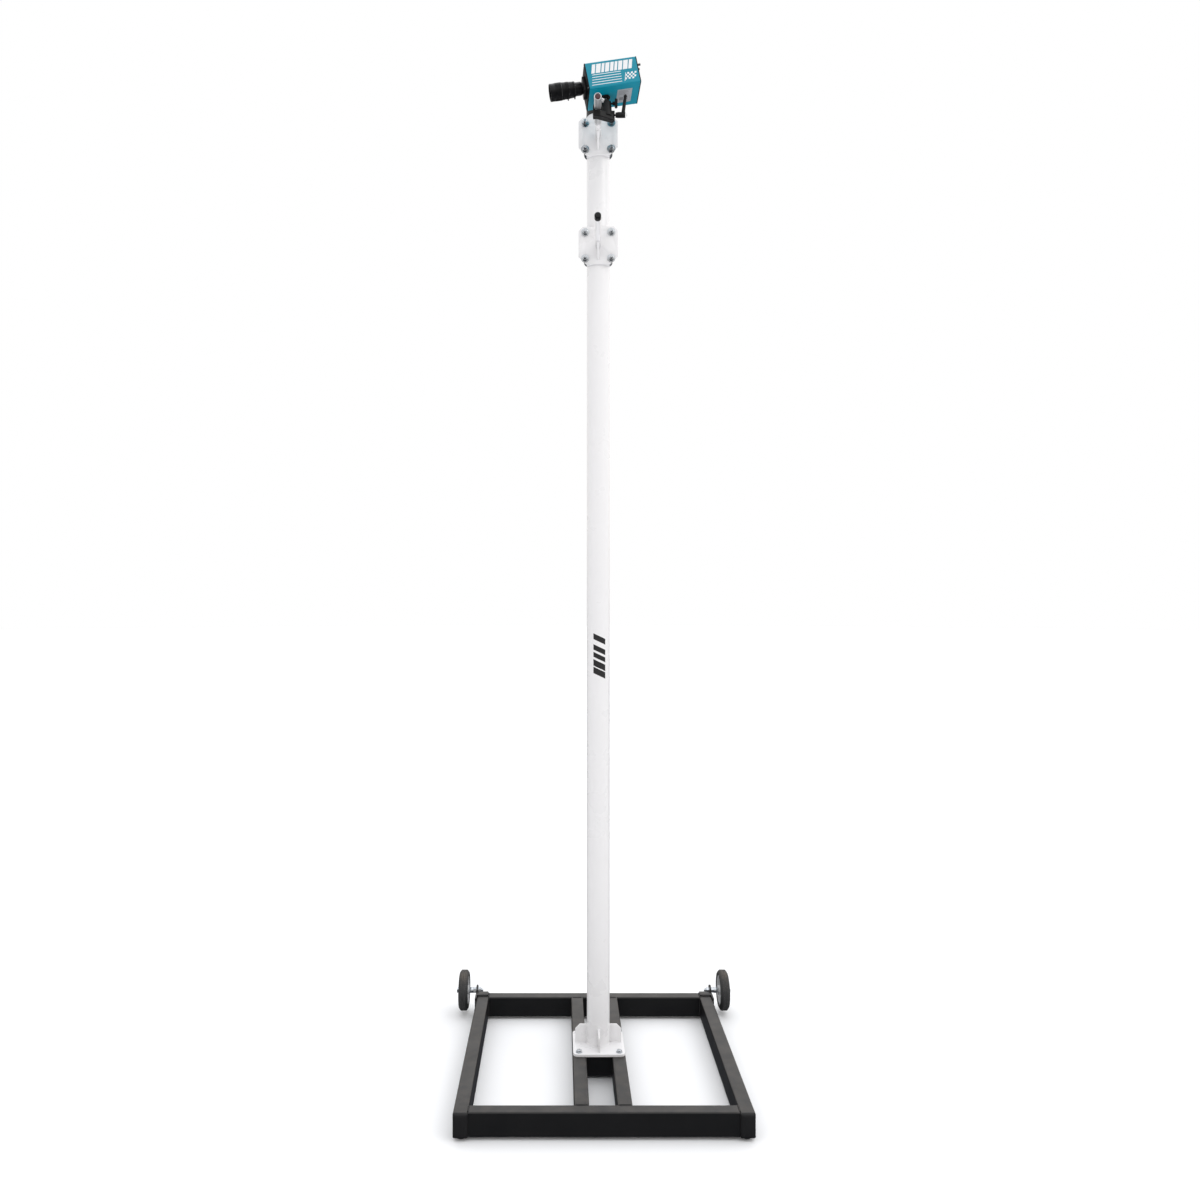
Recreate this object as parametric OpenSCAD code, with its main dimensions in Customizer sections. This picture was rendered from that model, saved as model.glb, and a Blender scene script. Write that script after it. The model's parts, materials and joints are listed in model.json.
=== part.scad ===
// Free-standing photo-finish camera stand: a welded box-tube base on two
// tip-and-roll wheels, a tall round mast, two U-bolted bracket plates with
// horizontal pegs, and a box camera with a zoom lens on a ball head.
// Millimetres, +Z up. The viewer stands at -Y, +X is to the viewer's right.
// The origin is on the floor under the middle of the overall box.

/* [Base frame] */
// Outer width of the square base frame
frame_w = 914.4; // [760:1:1100]
// Outer depth of the base frame
frame_d = 914.4; // [760:1:1100]
// Width of the rectangular tube
tube_w = 46; // [38:1:60]
// Height of the rectangular tube
tube_h = 76.2; // [60:0.1:90]
// Wall of the rectangular tube
tube_wall = 3; // [2:0.5:5]
// Outer corner radius of the rectangular tube
tube_r = 5; // [3.5:0.5:8]
// Clear gap between the two centre beams
centre_gap = 87; // [80:1:100]
// Height of a rubber foot below the frame
foot_h = 10; // [6:1:20]
// Diameter of a rubber foot
foot_d = 34; // [24:1:40]

/* [Wheels] */
// Outer diameter of the tyre
wheel_d = 152; // [130:1:175]
// Width of the tyre
wheel_w = 37; // [30:1:45]
// Distance from the mast axis plane to the middle of a wheel
wheel_x = 512; // [510:1:530]
// How far the axle sits behind the rear edge of the frame
axle_back = 20; // [12:1:30]
// Height of the axle above the floor
axle_z = 89; // [88:1:100]
// Diameter of the axle bolt
axle_d = 12; // [10:1:14]

/* [Mast] */
// Diameter of the mast tube
mast_d = 79; // [70:1:90]
// Wall of the mast tube
mast_wall = 3.2; // [2:0.1:5]
// Height of the top of the mast tube above the floor
mast_top = 3384; // [3000:1:3600]
// Width of the mast's base plate
base_plate_w = 177; // [172:1:190]
// Depth of the mast's base plate
base_plate_d = 190; // [180:1:200]
// Thickness of the mast's base plate
base_plate_t = 9; // [6:1:12]
// Height of a gusset at the foot of the mast
gusset_h = 64; // [40:1:90]

/* [Brackets] */
// Height of the lower bracket's centre
lower_z = 2851; // [1200:1:2900]
// Height of the upper bracket's centre
upper_z = 3226; // [3150:1:3240]
// Turn of both brackets round the mast, in degrees
bracket_yaw = 2.5; // [0:0.5:10]
// Width of a bracket plate
plate_w = 135; // [130:1:150]
// Height of a bracket plate
plate_h = 129; // [120:1:150]
// Thickness of a bracket plate
plate_t = 6; // [4:1:8]
// Clipped lower corner of a bracket plate
plate_clip = 27; // [15:1:28]
// Diameter of the U-bolt rod
rod_d = 10; // [8:1:11]
// Height between the two U-bolts of a bracket
u_bolt_pitch = 90; // [80:1:96]
// Diameter of a peg
peg_d = 19; // [17:1:20]
// Length of a peg in front of its plate
peg_len = 267; // [240:1:280]

/* [Head] */
// Outer diameter of the sleeve on the upper peg
sleeve_d = 24; // [23:1:25]
// Length of the sleeve on the upper peg
sleeve_len = 168; // [150:1:180]
// Diameter of the ball
ball_d = 20; // [18:1:20]
// Height of the camera's underside above the ball's centre
ball_to_camera = 21; // [21:1:26]
// Length of the lock lever's arm
lever_arm = 56; // [40:1:58]

/* [Camera] */
// Length of the camera body along the lens axis
body_l = 171; // [150:1:190]
// Width of the camera body
body_w = 115; // [100:1:125]
// Height of the camera body
body_h = 90; // [80:1:100]
// Wall of the folded camera shell
shell_t = 2; // [1.5:0.5:3]
// Lens-down pitch of the camera, in degrees
camera_pitch = 10.1; // [0:0.1:15]
// Turn of the camera from square to the pegs, in degrees
camera_turn = 6.3; // [-10:0.1:10]
// Sideways lean of the camera, in degrees
camera_lean = 8.2; // [0:0.1:10]

/* [Lens] */
// Length of the lens in front of its mount
lens_l = 105; // [95:1:120]
// Diameter of the lens's front barrel
lens_d = 53; // [50:1:60]

/* [Hidden] */
$fn = 64;
// Frame heights and half sizes
frame_z0 = foot_h;
frame_z1 = foot_h + tube_h;
half_w = frame_w / 2;
half_d = frame_d / 2;
inner_w = frame_w - 2 * tube_w;
inner_d = frame_d - 2 * tube_w;
cap_dome = 9;
cap_plug = 22;
cross_w = 46;
cross_y = 72 - cross_w / 2;
// The mast stands in front of the middle of the overall box, because the
// wheels reach further back than the end caps reach forward
front_reach = half_d + cap_dome;
rear_reach = half_d + axle_back + wheel_d / 2;
mast_y = (front_reach - rear_reach) / 2;
// Axle stack, measured outwards from the side beam's face
tab_t = 6;
washer_t = 2;
axle_nut_h = 10;
axle_head_h = 7.5;
hub_w = 40;
tab_x = half_w + tab_t;
hub_in = wheel_x - hub_w / 2;
hub_out = wheel_x + hub_w / 2;
axle_in = half_w - washer_t - axle_nut_h - 8;
axle_sleeve_d = 16;
run_gap = 0.06;
rim_d = 112;
// Base plate fasteners
base_bolt_x = 68.5;
base_bolt_y = 78;
base_bolt_d = 10;
plate_z1 = frame_z1 + base_plate_t;
// Mast and cap
mast_r = mast_d / 2;
mast_cap_len = 76;
mast_cap_t = 2;
// Brackets
saddle_w = mast_d;
saddle_depth = 21.5;
slide_gap = 0.4;
plate_back = mast_r + slide_gap;
plate_front = plate_back + plate_t;
u_bolt_r = mast_r + slide_gap + rod_d / 2;
stud_end = plate_front + 24;
peg_r = peg_d / 2;
peg_bore = peg_d - 5.2;
peg_tip = plate_front + peg_len;
peg_gusset_l = 65;
peg_gusset_h = 40;
rib_t = 6;
peg_cap_l = 26;
peg_cap_t = 1.5;
// Head, measured from the upper peg's axis with -Y along the peg
sleeve_r = sleeve_d / 2;
casting_front = -249;
casting_back = -205;
clamp_back = -214;
foot_low = -36;
foot_front = -270;
ball_at = [25.5, -228.8, 19];
clamp_z = -15.6;
clamp_y = -222;
cotter_r = 6;
stud_r = 3;
lever_x = 57;
lever_hub_l = 32;
lever_splay = 8;
lever_rake = 14;
thumb_y = -304;
thumb_angle = 28;
platform_t = 5;
platform_r = 18;
// Camera frame: its origin is the middle of the underside, +X to the rear
screw_x = -30;
end_t = 3;
half_l = body_l / 2;
lens_z = 44;
mount_t = 12;
mount_w = 50;
iris_seat = 21;
zoom_seat = 22.5;
focus_seat = 23.5;

// ---------- shared shapes ----------

// Puts a piece drawn round the mast's axis at the mast's place
module at_mast() translate([0, mast_y, 0]) children();

// Repeats a piece at x = +d and at x = -d
module both_sides(d) for (s = [-1, 1]) translate([s * d, 0, 0]) children();

// Rectangle w by h with true round corners of radius r
module round_rect(w, h, r) {
  square([w - 2 * r, h], center = true);
  square([w, h - 2 * r], center = true);
  for (x = [-1, 1], y = [-1, 1])
    translate([x * (w / 2 - r), y * (h / 2 - r)]) circle(r);
}

// Rectangular tube of length l along Y, centred on the frame's height
module box_tube(l, w = tube_w) {
  translate([0, l / 2, (frame_z0 + frame_z1) / 2]) rotate([90, 0, 0])
    linear_extrude(l) difference() {
      round_rect(w, tube_h, tube_r);
      round_rect(w - 2 * tube_wall, tube_h - 2 * tube_wall, tube_r - tube_wall);
    }
}

// Ring of outer radius ro, inner radius ri and height h on the XY plane
module ring(ro, ri, h) {
  difference() {
    cylinder(r = ro, h = h);
    translate([0, 0, -1]) cylinder(r = ri, h = h + 2);
  }
}

// Hexagon nut across-flats af, height h, round a shaft of diameter d
module hex_nut(af, h, d) {
  difference() {
    cylinder(d = af / cos(30), h = h, $fn = 6);
    translate([0, 0, -1]) cylinder(d = d, h = h + 2, $fn = 32);
  }
}

// Turns a piece drawn along +Z so that it points along +X on the side s
module outward(s) rotate([0, s * 90, 0]) children();

// ---------- base frame ----------

module side_beam(s) {
  color("#1b1c1f") at_mast() translate([s * (half_w - tube_w / 2), 0, 0]) box_tube(frame_d);
}
module side_beam_left() side_beam(-1);
module side_beam_right() side_beam(1);

module end_beam(s) {
  color("#1b1c1f") at_mast() translate([0, s * (half_d - tube_w / 2), 0])
    rotate([0, 0, 90]) box_tube(inner_w);
}
module front_beam() end_beam(-1);
module rear_beam() end_beam(1);

// Centre beam with two holes in its top wall for the base plate's bolts
module centre_beam(s) {
  color("#1b1c1f") at_mast() difference() {
    translate([s * (centre_gap / 2 + tube_w / 2), 0, 0]) box_tube(inner_d);
    translate([0, 0, frame_z1 - 10]) base_bolt_places() cylinder(d = base_bolt_d + 1, h = 20);
  }
}
module centre_beam_left() centre_beam(-1);
module centre_beam_right() centre_beam(1);

module cross_members() {
  color("#1b1c1f") at_mast() for (s = [-1, 1]) translate([0, s * cross_y, 0])
    rotate([0, 0, 90]) box_tube(centre_gap, cross_w);
}

// Domed plastic cap with a plug that pushes into the tube's end
module end_cap() {
  lip = 3;
  rotate([90, 0, 0]) {
    linear_extrude(lip) round_rect(tube_w, tube_h, tube_r);
    translate([0, 0, lip]) linear_extrude(cap_dome - lip) round_rect(tube_w - 6, tube_h - 6, tube_r);
    translate([0, 0, -cap_plug]) linear_extrude(cap_plug)
      round_rect(tube_w - 2 * tube_wall, tube_h - 2 * tube_wall, tube_r - tube_wall);
  }
}
module beam_end_caps() {
  color("#17181b") at_mast() both_sides(half_w - tube_w / 2) for (s = [-1, 1])
    translate([0, s * half_d, (frame_z0 + frame_z1) / 2]) rotate([0, 0, s > 0 ? 180 : 0]) end_cap();
}

// Rubber bumper glued under each corner of the frame
module rubber_feet() {
  color("#0c0c0d") at_mast() both_sides(half_w - tube_w / 2) for (s = [-1, 1])
    translate([0, s * (half_d - tube_w / 2), 0]) rotate_extrude()
      polygon([[0, 0], [foot_d / 2 - 4, 0], [foot_d / 2, 4], [foot_d / 2, foot_h], [0, foot_h]]);
}

// ---------- wheels ----------

// Angle bracket welded to the rear corner: a rounded axle tab and a top leg
module wheel_bracket() {
  tab_w = 40;
  tab_low = 30;
  axle_y = half_d + axle_back;
  difference() {
    union() {
      translate([half_w, 0, 0]) rotate([90, 0, 90]) linear_extrude(tab_t) {
        translate([axle_y, axle_z]) circle(tab_w / 2);
        polygon([[axle_y - 90, tab_low], [axle_y, tab_low], [axle_y + tab_w / 2, axle_z],
          [axle_y - tab_w / 2, axle_z], [axle_y - tab_w / 2, frame_z1 + 5], [axle_y - 90, frame_z1 + 5]]);
      }
      translate([half_w - 42, half_d - 34, frame_z1]) cube([42.5, 34, 5]);
    }
    translate([half_w - 1, axle_y, axle_z]) outward(1) cylinder(d = axle_d, h = tab_t + 2);
  }
}
module wheel_brackets() {
  color("#1b1c1f") at_mast() {
    wheel_bracket();
    mirror([1, 0, 0]) wheel_bracket();
  }
}

// Places pieces of the axle stack, drawn along +Z from the frame's middle plane
module on_axles() at_mast() for (s = [-1, 1])
  translate([0, half_d + axle_back, axle_z]) outward(s) children();

module axle_bolts() {
  color("#9aa3ad") on_axles() {
    translate([0, 0, axle_in]) cylinder(d = axle_d, h = hub_out + 1 - axle_in);
    translate([0, 0, hub_out + 1]) cylinder(d = 19 / cos(30), h = axle_head_h, $fn = 6);
  }
}

module axle_nuts() {
  color("#b9c0c8") on_axles() {
    translate([0, 0, half_w - washer_t - axle_nut_h]) hex_nut(19, axle_nut_h, axle_d);
    translate([0, 0, half_w - washer_t]) ring(12, axle_d / 2, washer_t);
    translate([0, 0, tab_x]) ring(12, axle_d / 2, washer_t);
    translate([0, 0, tab_x + washer_t]) hex_nut(19, axle_nut_h, axle_d);
  }
}

// Steel bushing that the hub turns on, clamped by the axle bolt
module axle_sleeves() {
  start = tab_x + washer_t + axle_nut_h;
  color("#c4c8cc") on_axles() {
    translate([0, 0, start]) ring(axle_sleeve_d / 2, axle_d / 2, hub_out + 1 - start);
    translate([0, 0, start]) ring(11, axle_sleeve_d / 2 - 0.5, hub_in - 0.5 - start);
  }
}

// Spoked steel hub: a boss, a web with round holes and a rim
module wheel_hub(s) {
  holes = 8;
  web_t = 8;
  color("#c9ccce") at_mast() translate([s * wheel_x, half_d + axle_back, axle_z]) outward(s) {
    difference() {
      union() {
        translate([0, 0, -hub_w / 2]) cylinder(r = 17, h = hub_w);
        translate([0, 0, -web_t / 2]) cylinder(d = rim_d - 4, h = web_t);
      }
      translate([0, 0, -hub_w]) cylinder(r = axle_sleeve_d / 2 + run_gap, h = 2 * hub_w);
      for (i = [0 : holes - 1]) rotate([0, 0, i * 360 / holes]) translate([34, 0, -web_t])
        cylinder(r = 8, h = 2 * web_t, $fn = 32);
    }
    translate([0, 0, -wheel_w / 2 + 4]) ring(rim_d / 2, rim_d / 2 - 5, wheel_w - 8);
  }
}
module left_wheel_hub() wheel_hub(-1);
module right_wheel_hub() wheel_hub(1);

// Solid rubber tyre with a flat tread and bevelled shoulders
module tyre(s) {
  ro = wheel_d / 2;
  ri = rim_d / 2;
  h = wheel_w / 2;
  tread = 11;
  color("#3a3b3e") at_mast() translate([s * wheel_x, half_d + axle_back, axle_z]) outward(s)
    rotate_extrude($fn = 96) polygon([[ri, -h + 4], [ri + 3, -h], [ro - 9, -h], [ro, -tread],
      [ro, tread], [ro - 9, h], [ri + 3, h], [ri, h - 4]]);
}
module left_tyre() tyre(-1);
module right_tyre() tyre(1);

// ---------- foot of the mast ----------

module base_bolt_places() for (x = [-1, 1], y = [-1, 1])
  translate([x * base_bolt_x, y * base_bolt_y, 0]) children();

module base_plate() {
  color("#f2f2f2") at_mast() translate([0, 0, frame_z1]) difference() {
    linear_extrude(base_plate_t) round_rect(base_plate_w, base_plate_d, 18);
    translate([0, 0, -1]) base_bolt_places() cylinder(d = base_bolt_d + 1, h = base_plate_t + 2);
  }
}

// Four welded gussets with clipped outer corners
module base_gussets() {
  reach_x = 80;
  reach_y = 84;
  clip = 16;
  color("#f2f2f2") at_mast() for (i = [0 : 3]) {
    reach = i % 2 == 0 ? reach_x : reach_y;
    rotate([0, 0, i * 90]) translate([0, rib_t / 2, plate_z1]) rotate([90, 0, 0]) linear_extrude(rib_t)
      polygon([[mast_r, 0], [reach, 0], [reach, gusset_h - clip], [reach - clip, gusset_h], [mast_r, gusset_h]]);
  }
}

module base_bolts() {
  head_h = 6.4;
  shank = 34;
  color("#aab2bb") at_mast() base_bolt_places() {
    translate([0, 0, plate_z1 + washer_t]) cylinder(d = 16 / cos(30), h = head_h, $fn = 6);
    translate([0, 0, plate_z1 + washer_t - shank]) cylinder(d = base_bolt_d, h = shank);
  }
}

module base_washers() {
  color("#b9c0c8") at_mast() translate([0, 0, plate_z1]) base_bolt_places()
    ring(11, base_bolt_d / 2 + 0.5, washer_t);
}

// Threaded inserts set in the top wall of the centre beams
module base_inserts() {
  color("#c9b06a") at_mast() translate([0, 0, frame_z1 - tube_wall - 15]) base_bolt_places()
    ring(7.5, base_bolt_d / 2, 15);
}

module mast_tube() {
  color("#f2f2f2") at_mast() translate([0, 0, plate_z1]) ring(mast_r, mast_r - mast_wall, mast_top - plate_z1);
}

// Push-on vinyl cap over the open top of the mast
module mast_cap() {
  color("#15171a") at_mast() translate([0, 0, mast_top + mast_cap_t - mast_cap_len]) difference() {
    cylinder(r = mast_r + mast_cap_t, h = mast_cap_len);
    translate([0, 0, -1]) cylinder(r = mast_r, h = mast_cap_len - mast_cap_t + 1);
  }
}

// ---------- bracket plates ----------

// Places a bracket's piece, drawn with the bracket's centre at the origin
module at_bracket(z) at_mast() translate([0, 0, z]) rotate([0, 0, -bracket_yaw]) children();

module stud_places() for (x = [-1, 1], z = [-1, 1])
  translate([x * u_bolt_r, 0, z * u_bolt_pitch / 2]) children();

module bracket_plate() {
  w = plate_w / 2;
  h = plate_h / 2;
  clip_top = 14;
  difference() {
    translate([0, -plate_back, 0]) rotate([90, 0, 0]) linear_extrude(plate_t)
      polygon([[-w + plate_clip, -h], [w - plate_clip, -h], [w, -h + plate_clip], [w, h - clip_top],
        [w - clip_top, h], [-w + clip_top, h], [-w, h - clip_top], [-w, -h + plate_clip]]);
    stud_places() translate([0, -plate_front - 1, 0]) rotate([-90, 0, 0])
      cylinder(d = rod_d + 1, h = plate_t + 2);
  }
}
module lower_plate() color("#f2f2f2") at_bracket(lower_z) bracket_plate();
module upper_plate() color("#f2f2f2") at_bracket(upper_z) bracket_plate();

// Saddle block welded behind the plate, hollowed to seat on the mast
module bracket_saddle() {
  translate([0, 0, -plate_h / 2]) linear_extrude(plate_h) difference() {
    translate([-saddle_w / 2, -plate_back]) square([saddle_w, saddle_depth]);
    circle(mast_r + slide_gap);
  }
}
module lower_saddle() color("#e9e9e9") at_bracket(lower_z) bracket_saddle();
module upper_saddle() color("#e9e9e9") at_bracket(upper_z) bracket_saddle();

// Tubular peg that stands out square from the plate
module bracket_peg() {
  translate([0, -plate_front, 0]) rotate([90, 0, 0]) ring(peg_r, peg_bore / 2, peg_len);
}
module lower_peg() color("#f2f2f2") at_bracket(lower_z) bracket_peg();
module upper_peg() color("#f2f2f2") at_bracket(upper_z) bracket_peg();

// Triangular gusset under the root of the peg
module peg_gusset() {
  translate([-rib_t / 2, -plate_front, 0]) rotate([90, 0, 90]) linear_extrude(rib_t)
    difference() {
      polygon([[0, 0], [0, -peg_r - peg_gusset_h], [-6, -peg_r - peg_gusset_h],
        [-peg_gusset_l, -peg_r - 5], [-peg_gusset_l, 0]]);
      translate([-peg_gusset_l - 1, -peg_r]) square([peg_gusset_l + 2, peg_r + 1]);
    }
}
module lower_peg_gusset() color("#f2f2f2") at_bracket(lower_z) peg_gusset();
module upper_peg_gusset() color("#f2f2f2") at_bracket(upper_z) peg_gusset();

module lower_peg_cap() {
  color("#17181b") at_bracket(lower_z) translate([0, -peg_tip - peg_cap_t + peg_cap_l, 0]) rotate([90, 0, 0])
    difference() {
      cylinder(r = peg_r + peg_cap_t, h = peg_cap_l);
      translate([0, 0, -1]) cylinder(r = peg_r, h = peg_cap_l - peg_cap_t + 1);
    }
}

// Black plug in the open end of the upper peg
module upper_peg_plug() {
  color("#17181b") at_bracket(upper_z) translate([0, -peg_tip, 0]) rotate([90, 0, 0]) {
    cylinder(r = peg_r - 0.5, h = 2);
    translate([0, 0, -16]) cylinder(d = peg_bore, h = 16);
  }
}

// One U-bolt: half a ring behind the mast and two straight legs
module u_bolt() {
  rotate_extrude(angle = 180) translate([u_bolt_r, 0]) circle(d = rod_d, $fn = 32);
  both_sides(u_bolt_r) rotate([90, 0, 0]) cylinder(d = rod_d, h = stud_end, $fn = 32);
}
module bracket_u_bolts() for (z = [-1, 1]) translate([0, 0, z * u_bolt_pitch / 2]) u_bolt();
module lower_u_bolts() color("#aab2bb") at_bracket(lower_z) bracket_u_bolts();
module upper_u_bolts() color("#aab2bb") at_bracket(upper_z) bracket_u_bolts();

// Washer and hexagon nut on each U-bolt leg
module bracket_nuts() stud_places() translate([0, -plate_front, 0]) rotate([90, 0, 0]) {
  ring(14, rod_d / 2, washer_t);
  translate([0, 0, washer_t]) hex_nut(17, 8, rod_d);
}
module lower_nuts() color("#b9c0c8") at_bracket(lower_z) bracket_nuts();
module upper_nuts() color("#b9c0c8") at_bracket(upper_z) bracket_nuts();

// ---------- head on the upper peg ----------

module adapter_sleeve() {
  color("#d3d6d8") at_bracket(upper_z) translate([0, -peg_tip - 2 + sleeve_len, 0]) difference() {
    rotate([90, 0, 0]) ring(sleeve_r, peg_r + run_gap, sleeve_len);
    at_thumb(0) cylinder(d = 5, h = 40, $fn = 32);
  }
}

// Axis of the thumb screw, measured from the sleeve's inner end
module at_thumb(lift) translate([0, thumb_y + peg_tip + 2 - sleeve_len, 0])
  rotate([0, 90 + thumb_angle, 0]) translate([0, 0, lift]) children();

// Knurled thumb screw that locks the sleeve on the peg
module thumb_screw() {
  flutes = 12;
  color("#d9dbdc") at_bracket(upper_z) translate([0, -peg_tip - 2 + sleeve_len, 0]) {
    at_thumb(peg_r + 0.2) cylinder(d = 4.9, h = 5, $fn = 32);
    at_thumb(sleeve_r + 0.6) difference() {
      cylinder(d = 12.5, h = 8.5);
      for (i = [0 : flutes - 1]) rotate([0, 0, i * 360 / flutes]) translate([6.6, 0, 2])
        cylinder(d = 1.6, h = 10, $fn = 16);
    }
  }
}

// Cast clamp body: a slanted foot, a split boss round the sleeve, a ball turret
// and a side boss that the lever's stud comes out of
module head_casting() {
  boss_r = sleeve_r + 4;
  depth = casting_back - casting_front;
  rim = 5;
  clamp_low = -24;
  stud_boss_r = 11;
  foot = [[-16, -264], [8, -262], [50, -232], [55, -222], [46, -209], [-16, -246]];
  color("#1d1e20") at_bracket(upper_z) difference() {
    union() {
      translate([0, 0, foot_low]) linear_extrude(20) polygon(foot);
      translate([0, casting_back, 0]) rotate([90, 0, 0]) cylinder(r = boss_r, h = depth);
      translate([-boss_r, casting_front, clamp_low]) cube([2 * boss_r, clamp_back - casting_front, -clamp_low]);
      translate([ball_at[0], ball_at[1], clamp_low]) cylinder(r1 = 21, r2 = 17.5, h = ball_at[2] + rim - clamp_low);
      translate([ball_at[0], clamp_y, clamp_low + stud_boss_r]) outward(1)
        cylinder(r = stud_boss_r, h = lever_x - 2.5 - ball_at[0]);
    }
    translate([0, casting_back + 1, 0]) rotate([90, 0, 0])
      cylinder(r = sleeve_r + run_gap, h = casting_back + 1 - foot_front);
    translate([-30, clamp_y, clamp_z]) outward(1) cylinder(r = cotter_r + 0.1, h = 46);
    translate([0, clamp_y, clamp_z]) outward(1) cylinder(r = stud_r + 0.1, h = 90);
    translate(ball_at) sphere(r = ball_d / 2 + 0.1);
    translate(ball_at) cylinder(r1 = 6.5, r2 = 9.5, h = rim + 3);
    translate(ball_at) outward(1) cylinder(r = stud_r + 0.1, h = 60);
  }
}

// Two scooped barrels that the lever's stud draws together on the sleeve
module clamp_cotters() {
  color("#b99b5a") at_bracket(upper_z) difference() {
    for (x = [-14.5, 3.5]) translate([x, clamp_y, clamp_z]) outward(1) cylinder(r = cotter_r, h = 11);
    translate([-20, clamp_y, clamp_z]) outward(1) cylinder(r = stud_r + 0.1, h = 60);
    rotate([90, 0, 0]) cylinder(r = sleeve_r + run_gap, h = peg_tip);
  }
}

// Lever with its stud: a hub in line with the stud and a raised arm
module lock_lever() {
  arm_x = lever_hub_l - 8;
  lever_tip_r = 5.6;
  color("#141517") at_bracket(upper_z) translate([lever_x, clamp_y, clamp_z]) {
    translate([-lever_x - 14, 0, 0]) outward(1) cylinder(r = stud_r, h = lever_x + 14.5);
    outward(1) cylinder(r = 8, h = 6.5);
    translate([6, 0, 0]) outward(1) cylinder(r = 9, h = lever_hub_l - 6);
    translate([arm_x, 0, 0]) rotate([lever_rake, 0, 0]) rotate([0, lever_splay, 0]) {
      cylinder(r1 = 6.2, r2 = 4.8, h = lever_arm);
      translate([0, 0, lever_arm]) sphere(r = lever_tip_r);
    }
  }
}

// Disc knob whose stud presses on the ball
module ball_knob() {
  flutes = 16;
  color("#141517") at_bracket(upper_z) translate(ball_at) {
    translate([ball_d / 2 + 0.4, 0, 0]) outward(1) cylinder(r = stud_r, h = 19);
    translate([22, 0, 0]) outward(1) cylinder(r = 6, h = 7);
    translate([29, 0, 0]) outward(1) difference() {
      cylinder(r = 14.5, h = 9);
      for (i = [0 : flutes - 1]) rotate([0, 0, i * 360 / flutes]) translate([15.2, 0, -1])
        cylinder(r = 1.8, h = 11, $fn = 16);
    }
  }
}

// The camera's tilted frame, with the ball's centre at the origin
module at_ball() at_bracket(upper_z) translate(ball_at)
  rotate([-camera_lean, -camera_pitch, camera_turn]) children();

// Ball, neck and the flat flange that carries the platform
module ball_stem() {
  color("#c4c8cc") at_ball() difference() {
    union() {
      sphere(r = ball_d / 2);
      cylinder(r = 5.5, h = ball_to_camera - platform_t - 2);
      translate([0, 0, ball_to_camera - platform_t - 3]) cylinder(r = 8, h = 3);
    }
    translate([0, 0, ball_to_camera - platform_t - 12]) cylinder(r = 3.2, h = 20);
  }
}

// Round platform with its camera screw and rubber face
module camera_platform() {
  color("#141517") at_ball() {
    translate([0, 0, ball_to_camera - platform_t]) cylinder(r1 = platform_r - 2, r2 = platform_r, h = 2);
    translate([0, 0, ball_to_camera - platform_t + 2]) cylinder(r = platform_r, h = platform_t - 2);
    translate([0, 0, ball_to_camera - platform_t - 11]) cylinder(r = 3.14, h = platform_t + 16);
  }
}

// ---------- camera ----------

// The camera's own frame: underside centre at the origin, +X to the rear
module at_camera() at_ball() translate([-screw_x, 0, ball_to_camera]) children();

// Body cross-section in the camera's YZ plane
module body_section(grow, r) translate([0, body_h / 2])
  round_rect(body_w + 2 * grow, body_h + 2 * grow, r);

module along_body(x0, l) translate([x0, 0, 0]) rotate([90, 0, 90]) linear_extrude(l) children();

// Folded sheet shell, open at both ends, with a tapped boss for the platform
module camera_shell() {
  color("#0d87a6") at_camera() difference() {
    union() {
      along_body(-half_l + end_t, body_l - 2 * end_t) difference() {
        body_section(0, 4);
        body_section(-shell_t, 2);
      }
      translate([screw_x, 0, shell_t]) cylinder(r = 10, h = 8);
    }
    translate([screw_x, 0, -1]) cylinder(r = 3.2, h = 20);
  }
}

module end_plate(x0) {
  along_body(x0, end_t) body_section(0.5, 4.5);
}
module camera_front_plate() {
  color("#141517") at_camera() difference() {
    end_plate(-half_l);
    translate([-half_l - 1, 0, lens_z]) outward(1) cylinder(r = 13, h = end_t + 2);
  }
}
module camera_rear_plate() color("#141517") at_camera() end_plate(half_l - end_t);

// Four screws in each end plate
module case_screws() {
  color("#c4c8cc") at_camera() for (s = [-1, 1], y = [-1, 1], z = [8, body_h - 8])
    translate([s * half_l, y * (body_w / 2 - 8), z]) outward(s) {
      cylinder(r = 3, h = 1.6, $fn = 32);
    }
}

// Metal rating label on the underside
module rating_label() {
  color("#b9bcc0") at_camera() translate([10.5, -31, -0.6]) cube([49, 67, 0.6]);
}

// Two bayonet sockets and two capped round sockets on the rear plate
module rear_connectors() {
  color("#c9ccd0") at_camera() for (y = [-34, -12]) translate([half_l, y, body_h - 14]) outward(1) {
    cylinder(r = 6.5, h = 3);
    cylinder(r = 4.7, h = 14);
    translate([0, 0, 10]) rotate([90, 0, 0]) translate([0, 0, -6]) cylinder(r = 1, h = 12, $fn = 16);
  }
  color("#26282b") at_camera() for (y = [14, 38]) translate([half_l, y, body_h - 16]) outward(1) {
    cylinder(r = 10, h = 3);
    cylinder(r = 8, h = 12);
  }
}

// Main circuit board and the sensor board with its line sensor
module camera_boards() {
  color("#1e5b3a") at_camera() {
    translate([-60, -48, 16]) cube([128, 96, 1.6]);
    translate([-half_l + 12, -24, lens_z - 22]) cube([1.6, 48, 44]);
    translate([-half_l + 9, -14, lens_z - 4]) cube([3, 28, 8]);
  }
}

// ---------- lens ----------

// The lens's frame: axis along +Z towards the front, origin at the body's face
module at_lens() at_camera() translate([-half_l, 0, lens_z]) outward(-1) children();

// Square mount block with a round threaded nose
module lens_mount() {
  color("#141517") at_lens() difference() {
    union() {
      linear_extrude(mount_t - 3) round_rect(mount_w, mount_w, 2);
      cylinder(r = 17, h = mount_t);
    }
    translate([0, 0, -1]) cylinder(r = 12.7, h = mount_t + 2);
  }
}

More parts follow.
